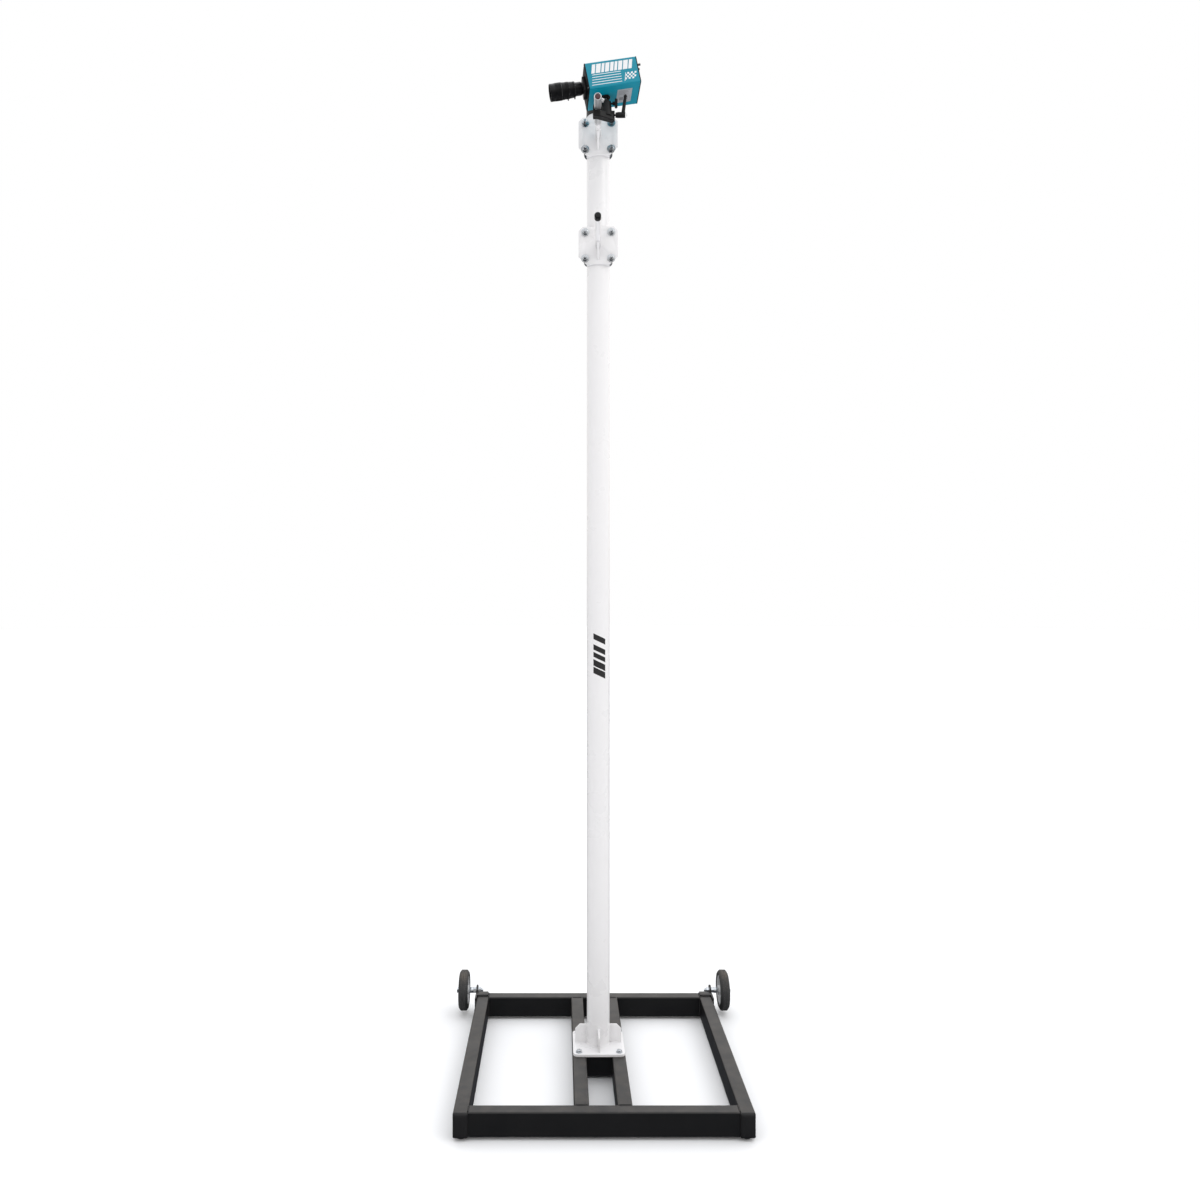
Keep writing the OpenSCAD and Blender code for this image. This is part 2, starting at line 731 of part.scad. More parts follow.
// Fixed barrel: rear neck, the seats of the three rings and the front bell
module lens_barrel() {
  bell = lens_d / 2;
  color("#131315") at_lens() translate([0, 0, mount_t]) difference() {
    union() {
      translate([0, 0, -6]) cylinder(r = 12.6, h = 8);
      cylinder(r1 = 18, r2 = 20.5, h = 4);
      translate([0, 0, 4]) cylinder(r = 20.5, h = 18.5);
      translate([0, 0, 22]) cylinder(r = iris_seat, h = 12);
      translate([0, 0, 34]) cylinder(r = 24.5, h = 8);
      translate([0, 0, 41]) cylinder(r = zoom_seat, h = 18);
      translate([0, 0, 58.5]) cylinder(r = 26, h = 7.5);
      translate([0, 0, 65]) cylinder(r = focus_seat, h = 26);
      translate([0, 0, 90.5]) cylinder(r = bell, h = lens_l - 90.5);
    }
    translate([0, 0, -10]) cylinder(r = 9, h = 60);
    translate([0, 0, 40]) cylinder(r1 = 9, r2 = 20, h = 50);
    translate([0, 0, 89]) cylinder(r = 22, h = 12);
    translate([0, 0, lens_l - 5]) cylinder(r = bell - 2, h = 6);
  }
}

// A turning ring with grip ribs, seated on the barrel
module grip_ring(z0, l, ro, ri, ribs) {
  translate([0, 0, mount_t + z0]) difference() {
    cylinder(r = ro, h = l);
    translate([0, 0, -1]) cylinder(r = ri + run_gap, h = l + 2);
    for (i = [0 : ribs - 1]) rotate([0, 0, i * 360 / ribs]) translate([ro + 0.5, 0, 2])
      cylinder(r = 1.3, h = l - 4, $fn = 16);
  }
}

// Locking pin that stands out of a ring, pointing down at rest
module ring_pin(z0, ro) translate([0, 0, mount_t + z0]) rotate([0, -90, 0]) {
  translate([0, 0, ro - 1]) cylinder(r = 1.2, h = 6, $fn = 24);
  translate([0, 0, ro + 3]) cylinder(r = 1.9, h = 7, $fn = 24);
}

module focus_ring() color("#131315") at_lens() grip_ring(66.3, 24, 27, focus_seat, 40);

module zoom_ring() {
  color("#131315") at_lens() {
    grip_ring(42.3, 16, 25.5, zoom_seat, 36);
    ring_pin(51, 25.5);
  }
}

module iris_ring() {
  color("#131315") at_lens() {
    grip_ring(22.8, 11, 24, iris_seat, 34);
    ring_pin(28.5, 24);
  }
}

// Front and rear glass elements
module lens_elements() {
  color("#6f8fa8") at_lens() {
    translate([0, 0, mount_t + 92]) cylinder(r = 21.9, h = 5);
    translate([0, 0, mount_t + 97]) cylinder(r1 = 21, r2 = 12, h = 2.5);
    translate([0, 0, mount_t]) cylinder(r = 8.9, h = 4);
  }
}

side_beam_left();
side_beam_right();
front_beam();
rear_beam();
centre_beam_left();
centre_beam_right();
cross_members();
beam_end_caps();
rubber_feet();
wheel_brackets();
axle_bolts();
axle_nuts();
axle_sleeves();
left_wheel_hub();
left_tyre();
right_wheel_hub();
right_tyre();
base_plate();
base_gussets();
base_bolts();
base_washers();
base_inserts();
mast_tube();
mast_cap();
lower_plate();
lower_saddle();
lower_peg();
lower_peg_gusset();
lower_peg_cap();
lower_u_bolts();
lower_nuts();
upper_plate();
upper_saddle();
upper_peg();
upper_peg_gusset();
upper_peg_plug();
upper_u_bolts();
upper_nuts();
adapter_sleeve();
thumb_screw();
head_casting();
clamp_cotters();
lock_lever();
ball_knob();
ball_stem();
camera_platform();
camera_shell();
camera_front_plate();
camera_rear_plate();
case_screws();
rating_label();
rear_connectors();
camera_boards();
lens_mount();
lens_barrel();
focus_ring();
zoom_ring();
iris_ring();
lens_elements();
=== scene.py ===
# %% [markdown]
# # A free-standing stand for a timing camera
# The object is a black square base of welded box tube on two tip-and-roll wheels, a tall white
# mast, two bracket plates held by U-bolts, and a teal box camera with a zoom lens on a ball head.
# The imported CAD model is loaded first and stays a fixed frame. The finished model has to stay
# inside it.
# %% Load the fixed frame
import json
import math

import bmesh
import bpy
from mathutils import Matrix, Vector


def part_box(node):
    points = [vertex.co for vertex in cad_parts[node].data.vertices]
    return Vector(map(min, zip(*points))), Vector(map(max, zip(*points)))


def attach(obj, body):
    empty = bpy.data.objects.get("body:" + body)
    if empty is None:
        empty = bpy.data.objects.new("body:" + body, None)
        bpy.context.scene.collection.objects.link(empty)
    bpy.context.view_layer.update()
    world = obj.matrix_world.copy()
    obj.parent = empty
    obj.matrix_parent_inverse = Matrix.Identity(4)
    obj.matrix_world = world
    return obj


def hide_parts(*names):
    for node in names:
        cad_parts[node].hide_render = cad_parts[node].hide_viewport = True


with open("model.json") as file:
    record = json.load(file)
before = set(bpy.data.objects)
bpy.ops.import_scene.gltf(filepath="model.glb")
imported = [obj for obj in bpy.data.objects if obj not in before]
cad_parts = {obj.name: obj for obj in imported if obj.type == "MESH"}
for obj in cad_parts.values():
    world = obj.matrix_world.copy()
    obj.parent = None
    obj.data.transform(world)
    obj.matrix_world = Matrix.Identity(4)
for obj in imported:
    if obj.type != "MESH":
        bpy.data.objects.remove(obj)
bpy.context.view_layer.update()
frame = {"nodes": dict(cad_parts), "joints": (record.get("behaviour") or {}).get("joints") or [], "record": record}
RECORD = frame["record"]
JOINTS = {joint["name"]: joint for joint in frame["joints"]}
BODY_OF = {node: body for body, nodes in RECORD["behaviour"]["bodies"].items() for node in nodes}
SLOT_OF = {row["node"]: row["material_slot"] for row in RECORD["subparts"]}
MM = 0.001

# %% [markdown]
# ## The camera
# A stand this tall is looked at from eye height, about three and a half metres in front of it.
# The camera is level, so the mast stays upright instead of leaning back, and a small sideways
# shift does what a view camera's sliding back does: it frames the stand without turning.
# %% Camera at eye height
EYE_HEIGHT = 1.630
EYE_DISTANCE = 3.4885
EYE_LEFT = 0.133
eye = bpy.data.cameras.new("eye")
eye.sensor_width = 36
eye.lens = 29.7
eye.shift_x = 0.0333
eye.shift_y = 0.0008
camera = bpy.data.objects.new("eye", eye)
bpy.context.scene.collection.objects.link(camera)
camera.location = (-EYE_LEFT, -EYE_DISTANCE, EYE_HEIGHT)
camera.rotation_euler = (math.radians(90), 0, 0)
bpy.context.scene.camera = camera
print("camera", tuple(camera.location), "lens", eye.lens)

# %% [markdown]
# ## Floor and light
# A sweep of white paper would hide the horizon from one side only. The stand is looked at from
# all round, so a very wide white disc is used, with an even white sky above it. The sky that the
# lens sees is plain white, while the sky that lights the stand is darker below the horizon, so
# that steel and black paint keep dark reflections and don't look milky.
# %% Pale floor
FLOOR_RADIUS = 60.0
bm = bmesh.new()
bmesh.ops.create_circle(bm, cap_ends=True, segments=128, radius=FLOOR_RADIUS)
floor_mesh = bpy.data.meshes.new("floor")
bm.to_mesh(floor_mesh)
bm.free()
floor = bpy.data.objects.new("floor", floor_mesh)
bpy.context.scene.collection.objects.link(floor)
floor_paint = bpy.data.materials.new("floor_paint")
floor_paint.use_nodes = True
paint = floor_paint.node_tree.nodes["Principled BSDF"]
paint.inputs["Base Color"].default_value = (0.94, 0.945, 0.95, 1)
paint.inputs["Roughness"].default_value = 0.85
paint.inputs["Specular IOR Level"].default_value = 0.1
floor_mesh.materials.append(floor_paint)
floor.visible_glossy = False
print("floor radius", FLOOR_RADIUS, "m")

# %% [markdown]
# The sky is pure white where the camera looks at it, but the steel sees another one: bright above,
# warm at the horizon, dark below, and a little brighter on the right. That split, made with the
# Light Path node, keeps black steel black on a white page and gives the round mast its shading.
# %% Sky that is white to the eye and shaded to the steel
SKY_BELOW = (0.08, 0.085, 0.095, 1)
SKY_HORIZON = (0.86, 0.81, 0.75, 1)
SKY_ABOVE = (1.28, 1.29, 1.32, 1)
STRENGTH_LEFT = 0.80
STRENGTH_RIGHT = 1.12
sky = bpy.data.worlds.new("sky")
bpy.context.scene.world = sky
sky.use_nodes = True
tree = sky.node_tree
tree.nodes.clear()
direction = tree.nodes.new("ShaderNodeTexCoord")
height = tree.nodes.new("ShaderNodeSeparateXYZ")
tree.links.new(direction.outputs["Generated"], height.inputs[0])
span = tree.nodes.new("ShaderNodeMapRange")
span.inputs["From Min"].default_value = -1
tree.links.new(height.outputs["Z"], span.inputs["Value"])
ramp = tree.nodes.new("ShaderNodeValToRGB")
ramp.color_ramp.elements[0].position = 0.46
ramp.color_ramp.elements[0].color = SKY_BELOW
ramp.color_ramp.elements[1].position = 0.54
ramp.color_ramp.elements[1].color = SKY_HORIZON
ramp.color_ramp.elements.new(0.80).color = SKY_ABOVE
tree.links.new(span.outputs["Result"], ramp.inputs["Fac"])
lit = tree.nodes.new("ShaderNodeBackground")
tree.links.new(ramp.outputs["Color"], lit.inputs["Color"])
side = tree.nodes.new("ShaderNodeMapRange")
side.inputs["From Min"].default_value = -1
side.inputs["To Min"].default_value = STRENGTH_LEFT
side.inputs["To Max"].default_value = STRENGTH_RIGHT
tree.links.new(height.outputs["X"], side.inputs["Value"])
tree.links.new(side.outputs["Result"], lit.inputs["Strength"])
seen = tree.nodes.new("ShaderNodeBackground")
seen.inputs["Color"].default_value = (1, 1, 1, 1)
ray = tree.nodes.new("ShaderNodeLightPath")
mix = tree.nodes.new("ShaderNodeMixShader")
tree.links.new(ray.outputs["Is Camera Ray"], mix.inputs["Fac"])
tree.links.new(lit.outputs["Background"], mix.inputs[1])
tree.links.new(seen.outputs["Background"], mix.inputs[2])
output = tree.nodes.new("ShaderNodeOutputWorld")
tree.links.new(mix.outputs["Shader"], output.inputs["Surface"])
print("sky ramp stops:", len(ramp.color_ramp.elements))


# %% [markdown]
# Two large soft boxes shape the round mast: a strong one high on the right and a weak one low on
# the left. A third hangs straight above and lights the tops. All three are area lights aimed at
# the stand, and their size keeps the shadows soft.
# %% Soft boxes
def soft_box(name, place, target, size, watts, colour):
    light = bpy.data.lights.new(name, "AREA")
    light.shape = "DISK"
    light.size = size
    light.energy = watts
    light.color = colour
    lamp = bpy.data.objects.new(name, light)
    bpy.context.scene.collection.objects.link(lamp)
    lamp.location = place
    lamp.rotation_euler = (Vector(target) - Vector(place)).to_track_quat("-Z", "Y").to_euler()
    print("light", name, watts, "W")


soft_box("key", (3.4, -2.4, 5.2), (0, 0, 1.2), 2.4, 26, (1.0, 0.985, 0.96))
soft_box("fill", (-4.2, -3.2, 2.6), (0, 0, 1.6), 3.0, 6, (0.93, 0.96, 1.0))
soft_box("top", (0.4, 0.6, 6.4), (0, 0, 0), 3.5, 20, (1, 1, 1))
bpy.context.scene.view_settings.view_transform = "Standard"


# %% [markdown]
# ## Shared surface effects
# A real finish is never one colour. Powder coat has a fine orange peel, turned metal has streaks,
# anything outdoors gathers dust on what faces up, and paint thins on sharp edges. Each effect is
# built once as a node group with named sockets and is then placed in every material that needs
# it, with that material's own values. Groups give out only masks and heights; the shader itself
# stays in the material.
# %% A helper that starts a node group
def new_group(name, inputs, outputs):
    group = bpy.data.node_groups.new(name, "ShaderNodeTree")
    for socket_name, value in inputs:
        socket = group.interface.new_socket(socket_name, in_out="INPUT", socket_type="NodeSocketFloat")
        socket.default_value = value
    for socket_name in outputs:
        group.interface.new_socket(socket_name, in_out="OUTPUT", socket_type="NodeSocketFloat")
    entry = group.nodes.new("NodeGroupInput")
    leave = group.nodes.new("NodeGroupOutput")
    print("group", name, "gives", outputs)
    return group, entry, leave


def add_node(tree, kind, settings=None, **links):
    """Adds a node; keyword arguments are sockets, given as a value or as another node's output."""
    node = tree.nodes.new(kind)
    for key, value in (settings or {}).items():
        setattr(node, key, value)
    for key, value in links.items():
        name = key.replace("_", " ")
        socket = node.inputs[int(key[1:])] if key[0] == "i" and key[1:].isdigit() else node.inputs[name]
        if isinstance(value, bpy.types.NodeSocket):
            tree.links.new(value, socket)
        else:
            socket.default_value = value
    return node


# %% [markdown]
# **Grain** is a noise in the object's own coordinates, so it moves with the part. It gives a
# height for the bump and a slow mottle that shifts colour and gloss a little.
# %% Grain group
grain, entry, leave = new_group("grain", [("Scale", 900.0), ("Mottle Scale", 9.0)], ["Height", "Mottle"])
where = add_node(grain, "ShaderNodeTexCoord")
fine = add_node(grain, "ShaderNodeTexNoise", Vector=where.outputs["Object"], Scale=entry.outputs["Scale"])
fine.inputs["Detail"].default_value = 2.0
slow = add_node(grain, "ShaderNodeTexNoise", Vector=where.outputs["Object"],
                Scale=entry.outputs["Mottle Scale"])
slow.inputs["Detail"].default_value = 5.0
grain.links.new(fine.outputs["Fac"], leave.inputs["Height"])
grain.links.new(slow.outputs["Fac"], leave.inputs["Mottle"])

# %% [markdown]
# **Edge wear** compares the true normal with one softened by the bevel node. The two differ only
# near an edge, and a noise breaks the line up so that the wear looks rubbed and not drawn.
# %% Edge wear group
edge_wear, entry, leave = new_group("edge_wear", [("Radius", 0.001), ("Amount", 0.5),
                                                  ("Break Up", 160.0)], ["Mask"])
bent = add_node(edge_wear, "ShaderNodeBevel", {"samples": 4}, Radius=entry.outputs["Radius"])
true = add_node(edge_wear, "ShaderNodeNewGeometry")
same = add_node(edge_wear, "ShaderNodeVectorMath", {"operation": "DOT_PRODUCT"},
                i0=bent.outputs["Normal"], i1=true.outputs["Normal"])
edge = add_node(edge_wear, "ShaderNodeMapRange", Value=same.outputs["Value"], From_Min=0.995,
                From_Max=0.86)
where = add_node(edge_wear, "ShaderNodeTexCoord")
rub = add_node(edge_wear, "ShaderNodeTexNoise", Vector=where.outputs["Object"],
               Scale=entry.outputs["Break Up"])
patch = add_node(edge_wear, "ShaderNodeMapRange", Value=rub.outputs["Fac"], From_Min=0.42, From_Max=0.62)
worn = add_node(edge_wear, "ShaderNodeMath", {"operation": "MULTIPLY"}, i0=edge.outputs["Result"],
                i1=patch.outputs["Result"])
mask = add_node(edge_wear, "ShaderNodeMath", {"operation": "MULTIPLY"}, i0=worn.outputs[0],
                i1=entry.outputs["Amount"])
edge_wear.links.new(mask.outputs[0], leave.inputs["Mask"])

# %% [markdown]
# **Dust** settles on what faces up. The mask is the upward part of the normal, broken up by a
# noise with many octaves, so it reads as a dry film with specks in it.
# %% Dust group
dust, entry, leave = new_group("dust", [("Amount", 0.2), ("Scale", 26.0)], ["Mask"])
shape = add_node(dust, "ShaderNodeNewGeometry")
up = add_node(dust, "ShaderNodeSeparateXYZ", i0=shape.outputs["Normal"])
facing = add_node(dust, "ShaderNodeMapRange", Value=up.outputs["Z"], From_Min=0.3, From_Max=1.0)
where = add_node(dust, "ShaderNodeTexCoord")
drift = add_node(dust, "ShaderNodeTexNoise", Vector=where.outputs["Object"], Scale=entry.outputs["Scale"])
drift.inputs["Detail"].default_value = 8.0
film = add_node(dust, "ShaderNodeMapRange", Value=drift.outputs["Fac"], From_Min=0.3, From_Max=0.75)
settled = add_node(dust, "ShaderNodeMath", {"operation": "MULTIPLY"}, i0=facing.outputs["Result"],
                   i1=film.outputs["Result"])
mask = add_node(dust, "ShaderNodeMath", {"operation": "MULTIPLY"}, i0=settled.outputs[0],
                i1=entry.outputs["Amount"])
dust.links.new(mask.outputs[0], leave.inputs["Mask"])

# %% [markdown]
# **Streaks** are a noise stretched along one direction. It gives the drawn lines of a bar or a
# brushed plate, or the fine rings of turned work, and breaks up the gloss of bare metal.
# %% Streak group
streaks, entry, leave = new_group("streaks", [("Along", 30.0), ("Across", 2400.0)], ["Mask"])
where = add_node(streaks, "ShaderNodeTexCoord")
stretch = add_node(streaks, "ShaderNodeCombineXYZ", X=entry.outputs["Across"], Y=entry.outputs["Across"],
                   Z=entry.outputs["Along"])
pulled = add_node(streaks, "ShaderNodeVectorMath", {"operation": "MULTIPLY"}, i0=where.outputs["Object"],
                  i1=stretch.outputs[0])
lines = add_node(streaks, "ShaderNodeTexNoise", Vector=pulled.outputs[0], Scale=1.0, Detail=3.0)
streaks.links.new(lines.outputs["Fac"], leave.inputs["Mask"])


# %% [markdown]
# ## The finishes
# Every finish starts from the same recipe: a base colour with a slow mottle, a worn colour on
# the edges, a film of dust, a gloss that wanders a little, and a fine bump. Two small helpers
# place a node group with its own values, and mix two colours by a mask.
# %% Group and mix helpers
def group_node(tree, group, **values):
    node = tree.nodes.new("ShaderNodeGroup")
    node.node_tree = group
    for key, value in values.items():
        node.inputs[key.replace("_", " ")].default_value = value
    return node


def mix_colour(tree, factor, first, second):
    node = tree.nodes.new("ShaderNodeMix")
    node.data_type = "RGBA"
    for socket, value in zip((node.inputs["Factor"], node.inputs[6], node.inputs[7]),
                             (factor, first, second)):
        if isinstance(value, bpy.types.NodeSocket):
            tree.links.new(value, socket)
        elif isinstance(value, (int, float)):
            socket.default_value = value
        else:
            socket.default_value = (*value, 1)
    return node.outputs[2]


# %% [markdown]
# `finish` wires the recipe once, and each material then gives its own colours and amounts. Values
# that are the same all over, such as the coat or the metalness, are set on the shader itself.
# %% The recipe that all finishes share
MATERIALS = {}
DUST_COLOUR = (0.36, 0.295, 0.22)


def finish(name, colour, mottle_colour, rough, metal=0.0, peel=900.0, bump=0.02, wear=None, dusty=0.0,
           wear_radius=1.0, streaky=None, depth=0.4, mottle=9.0, **constants):
    """Builds one material. rough is (lowest, highest), wear is (colour, amount), bump is in mm."""
    material = bpy.data.materials.new(name)
    material.use_nodes = True
    tree = material.node_tree
    shader = tree.nodes["Principled BSDF"]
    surface = group_node(tree, grain, Scale=peel, Mottle_Scale=mottle)
    tint = mix_colour(tree, surface.outputs["Mottle"], colour, mottle_colour)
    gloss_source = surface.outputs["Mottle"]
    height = surface.outputs["Height"]
    if streaky:
        drawn = group_node(tree, streaks, Along=streaky[0], Across=streaky[1])
        gloss_source = drawn.outputs["Mask"]
        height = drawn.outputs["Mask"]
    if wear:
        rubbed = group_node(tree, edge_wear, Radius=wear_radius * MM, Amount=wear[1])
        tint = mix_colour(tree, rubbed.outputs["Mask"], tint, wear[0])
    if dusty:
        film = group_node(tree, dust, Amount=dusty)
        tint = mix_colour(tree, film.outputs["Mask"], tint, DUST_COLOUR)
    tree.links.new(tint, shader.inputs["Base Color"])
    gloss = add_node(tree, "ShaderNodeMapRange", Value=gloss_source, From_Min=0.3, From_Max=0.7)
    gloss.inputs["To Min"].default_value = rough[0]
    gloss.inputs["To Max"].default_value = rough[1]
    tree.links.new(gloss.outputs["Result"], shader.inputs["Roughness"])
    bump_node = add_node(tree, "ShaderNodeBump", Height=height, Distance=bump * MM, Strength=depth)
    tree.links.new(bump_node.outputs["Normal"], shader.inputs["Normal"])
    shader.inputs["Metallic"].default_value = metal
    for key, value in constants.items():
        shader.inputs[key.replace("_", " ")].default_value = value
    MATERIALS[name] = material
    print("finish", name, "rough", rough, "metal", metal)


# %% [markdown]
# **Painted and powder-coated steel.** The base is satin black: it is nearly black face on and
# turns brownish grey at a low angle, so its gloss is kept a little soft. The mast and brackets
# have a thick white coat with a gentle orange peel.
# %% Powder coats and paints
finish("black_frame", (0.0055, 0.0058, 0.0068), (0.0085, 0.0085, 0.0088), (0.30, 0.42), peel=1400,
       bump=0.05, wear=((0.07, 0.07, 0.075), 0.4), dusty=0.075, wear_radius=1.5, Specular_IOR_Level=0.42)
finish("white_steel", (0.795, 0.79, 0.797), (0.78, 0.775, 0.782), (0.26, 0.31), peel=320, bump=0.02,
       depth=0.12, Coat_Weight=0.25, Coat_Roughness=0.12)
finish("black_casting", (0.006, 0.006, 0.0065), (0.010, 0.010, 0.0105), (0.34, 0.50), peel=1800,
       bump=0.08, wear=((0.08, 0.08, 0.085), 0.35), dusty=0.02, wear_radius=0.8, Specular_IOR_Level=0.22)
finish("grey_hub", (0.56, 0.57, 0.58), (0.48, 0.49, 0.50), (0.30, 0.45), peel=800, bump=0.05,
       wear=((0.35, 0.34, 0.33), 0.4), dusty=0.12)

# %% [markdown]
# **The camera's teal enamel** is a fine satin spray coat on folded sheet, with a thin clear
# gloss over it, so the folds catch a bright line.
# %% Teal enamel
finish("teal_shell", (0.0, 0.215, 0.305), (0.0, 0.235, 0.33), (0.32, 0.42), peel=1500, bump=0.03,
       wear=((0.02, 0.36, 0.46), 0.4), dusty=0.01, Coat_Weight=0.12, Coat_Roughness=0.25,
       Specular_IOR_Level=0.32)

# %% [markdown]
# **Plastics and rubbers.** Moulded caps are matt with a fine spark texture, dipped vinyl is
# smoother and shinier, and rubber is the roughest and greys with dust.
# %% Plastics and rubbers
finish("black_plastic", (0.008, 0.008, 0.009), (0.012, 0.012, 0.013), (0.40, 0.52), peel=2600, bump=0.05,
       wear=((0.05, 0.05, 0.052), 0.3), dusty=0.02, Specular_IOR_Level=0.28)
finish("end_plate_black", (0.005, 0.005, 0.0055), (0.008, 0.008, 0.0085), (0.62, 0.74), peel=1800,
       bump=0.05, wear=((0.07, 0.07, 0.072), 0.3), Specular_IOR_Level=0.15)
finish("plug_vinyl", (0.045, 0.007, 0.012), (0.060, 0.010, 0.016), (0.26, 0.38), peel=420, bump=0.04,
       Coat_Weight=0.3, Coat_Roughness=0.22)
finish("black_vinyl", (0.006, 0.0062, 0.007), (0.009, 0.0092, 0.010), (0.34, 0.46), peel=420, bump=0.04,
       dusty=0.02, Coat_Weight=0.08, Coat_Roughness=0.3, Specular_IOR_Level=0.28)
finish("black_rubber", (0.010, 0.010, 0.010), (0.022, 0.021, 0.020), (0.62, 0.80), peel=1600, bump=0.12,
       dusty=0.2)
finish("tyre_rubber", (0.022, 0.023, 0.025), (0.036, 0.036, 0.036), (0.60, 0.82), peel=1500, bump=0.14,
       wear=((0.13, 0.125, 0.12), 0.6), dusty=0.25, wear_radius=1.5)

# %% [markdown]
# **Bare and plated metals.** Zinc plate is bluish and a little patchy, with drawn streaks on
# rods. Satin aluminium is brighter and finer, brass and nickel are turned parts.
# %% Metals
finish("zinc_steel", (0.54, 0.575, 0.62), (0.63, 0.655, 0.67), (0.22, 0.32), metal=1.0, bump=0.004,
       streaky=(60.0, 500.0), mottle=40.0, wear=((0.75, 0.75, 0.75), 0.3), wear_radius=0.6)
finish("satin_aluminium", (0.86, 0.865, 0.875), (0.80, 0.805, 0.815), (0.36, 0.48), metal=0.8, bump=0.008,
       streaky=(60.0, 2600.0), mottle=40.0)
finish("connector_nickel", (0.62, 0.60, 0.57), (0.52, 0.51, 0.49), (0.16, 0.28), metal=1.0, bump=0.006,
       streaky=(90.0, 2200.0), mottle=80.0)
finish("brass_insert", (0.62, 0.43, 0.17), (0.50, 0.34, 0.13), (0.22, 0.36), metal=1.0, bump=0.008,
       streaky=(90.0, 2200.0), mottle=80.0)

# %% [markdown]
# **Lens black** is anodised aluminium: a metal under a dark layer, with the fine rings that the
# lathe left. **Circuit board** green is a lacquer over copper, so a fine mottle of two greens
# hints at the tracks under it.
# **Coated glass** stays a plain dielectric with a tint, and a thin coat gives its cool gloss.
# %% Lens black, circuit board and glass
finish("lens_black", (0.0055, 0.0055, 0.0062), (0.009, 0.009, 0.0105), (0.26, 0.38), metal=0.0,
       bump=0.008, streaky=(1400.0, 60.0), wear=((0.10, 0.10, 0.105), 0.25), wear_radius=0.4,
       Specular_IOR_Level=0.25)
finish("circuit_board", (0.010, 0.105, 0.045), (0.020, 0.17, 0.075), (0.25, 0.5), peel=500, bump=0.05,
       mottle=300.0, Coat_Weight=0.4)
finish("lens_glass", (0.86, 0.93, 1.0), (0.94, 0.90, 1.0), (0.0, 0.02), peel=40, bump=0.001,
       Transmission_Weight=1.0, IOR=1.6, Coat_Weight=1.0, Coat_Tint=(0.62, 0.75, 1.0, 1.0))
finish("white_ink", (0.80, 0.81, 0.82), (0.72, 0.73, 0.75), (0.35, 0.5), peel=1200, bump=0.02)
finish("black_ink", (0.012, 0.012, 0.013), (0.022, 0.022, 0.023), (0.35, 0.5), peel=1200, bump=0.02)
finish("grey_ink", (0.17, 0.175, 0.185), (0.22, 0.22, 0.23), (0.4, 0.55), peel=1200, bump=0.02)
finish("label_foil", (0.42, 0.45, 0.48), (0.50, 0.51, 0.53), (0.34, 0.48), metal=0.35, peel=900,
       bump=0.01, dusty=0.02, mottle=40.0)

# %% [markdown]
# ## Mesh helpers
# Most pieces here are turned, swept or stacked. `spin` turns a profile round an axis, and when the
# profile is a function of the angle the same helper makes hexagons, knurls and threads. `stack`
# joins outlines of equal point counts, as for a moulded cap. `sweep` runs a round section along a
# path, for bent rod and weld beads. `finished` turns what was built into a piece: it rides on the
# body of the CAD node it stands for, and takes that node's material slot.
# %% Frames and measures
def frame_at(origin, z_axis, x_hint):
    """A matrix whose Z runs along z_axis and whose X is close to x_hint."""
    z = Vector(z_axis).normalized()
    x = Vector(x_hint) - z * Vector(x_hint).dot(z)
    x.normalize()
    rotation = Matrix((x, z.cross(x), z)).transposed().to_4x4()
    return Matrix.Translation(origin) @ rotation


def reach(node, matrix):
    """Lowest and highest corner of a node, measured in a frame of its own."""
    inverse = matrix.inverted()
    points = [inverse @ vertex.co for vertex in frame["nodes"][node].data.vertices]
    low = Vector([min(point[i] for point in points) for i in range(3)])
    high = Vector([max(point[i] for point in points) for i in range(3)])
    return low, high


def turned(matrix, degrees):
    return matrix @ Matrix.Rotation(math.radians(degrees), 4, "Z")


# %% [markdown]
# A lathe shape is a list of (radius, height) points. Soft corners are short curves laid into that
# list, so every turned piece catches a fine highlight on its edges as real parts do.
# %% Turned shapes
def spin(bm, matrix, profile, steps=64, loop=True):
    """Turns (radius, height) points round Z. The profile may be a function of the angle."""
    rings = []
    for i in range(steps):
        angle = math.tau * i / steps
        points = profile(angle) if callable(profile) else profile
        side = Vector((math.cos(angle), math.sin(angle), 0))
        rings.append([bm.verts.new(matrix @ (side * r + Vector((0, 0, h)))) for r, h in points])
    count = len(rings[0])
    for ring, after in zip(rings, rings[1:] + rings[:1]):
        for k in range(count if loop else count - 1):
            up = (k + 1) % count
            bm.faces.new((ring[k], after[k], after[up], ring[up]))


def soften(points, radius, steps=3, loop=True):
    """Rounds the corners of a profile with short curves. Points on the axis stay sharp."""
    result = []
    count = len(points)
    for i, (r, h) in enumerate(points):
        ends = not loop and i in (0, count - 1)
        if ends or r < 1e-9:
            result.append((r, h))
            continue
        here = Vector((r, h))
        before = Vector(points[i - 1]) - here
        after = Vector(points[(i + 1) % count]) - here
        start = here + before.normalized() * min(radius, 0.45 * before.length)
        end = here + after.normalized() * min(radius, 0.45 * after.length)
        for k in range(steps + 1):
            t = k / steps
            result.append(tuple(start * (1 - t) ** 2 + here * 2 * t * (1 - t) + end * t * t))
    return result


def tube_profile(outer, inner, low, high, edge=0.0006):
    return soften([(inner, low), (outer, low), (outer, high), (inner, high)], edge)


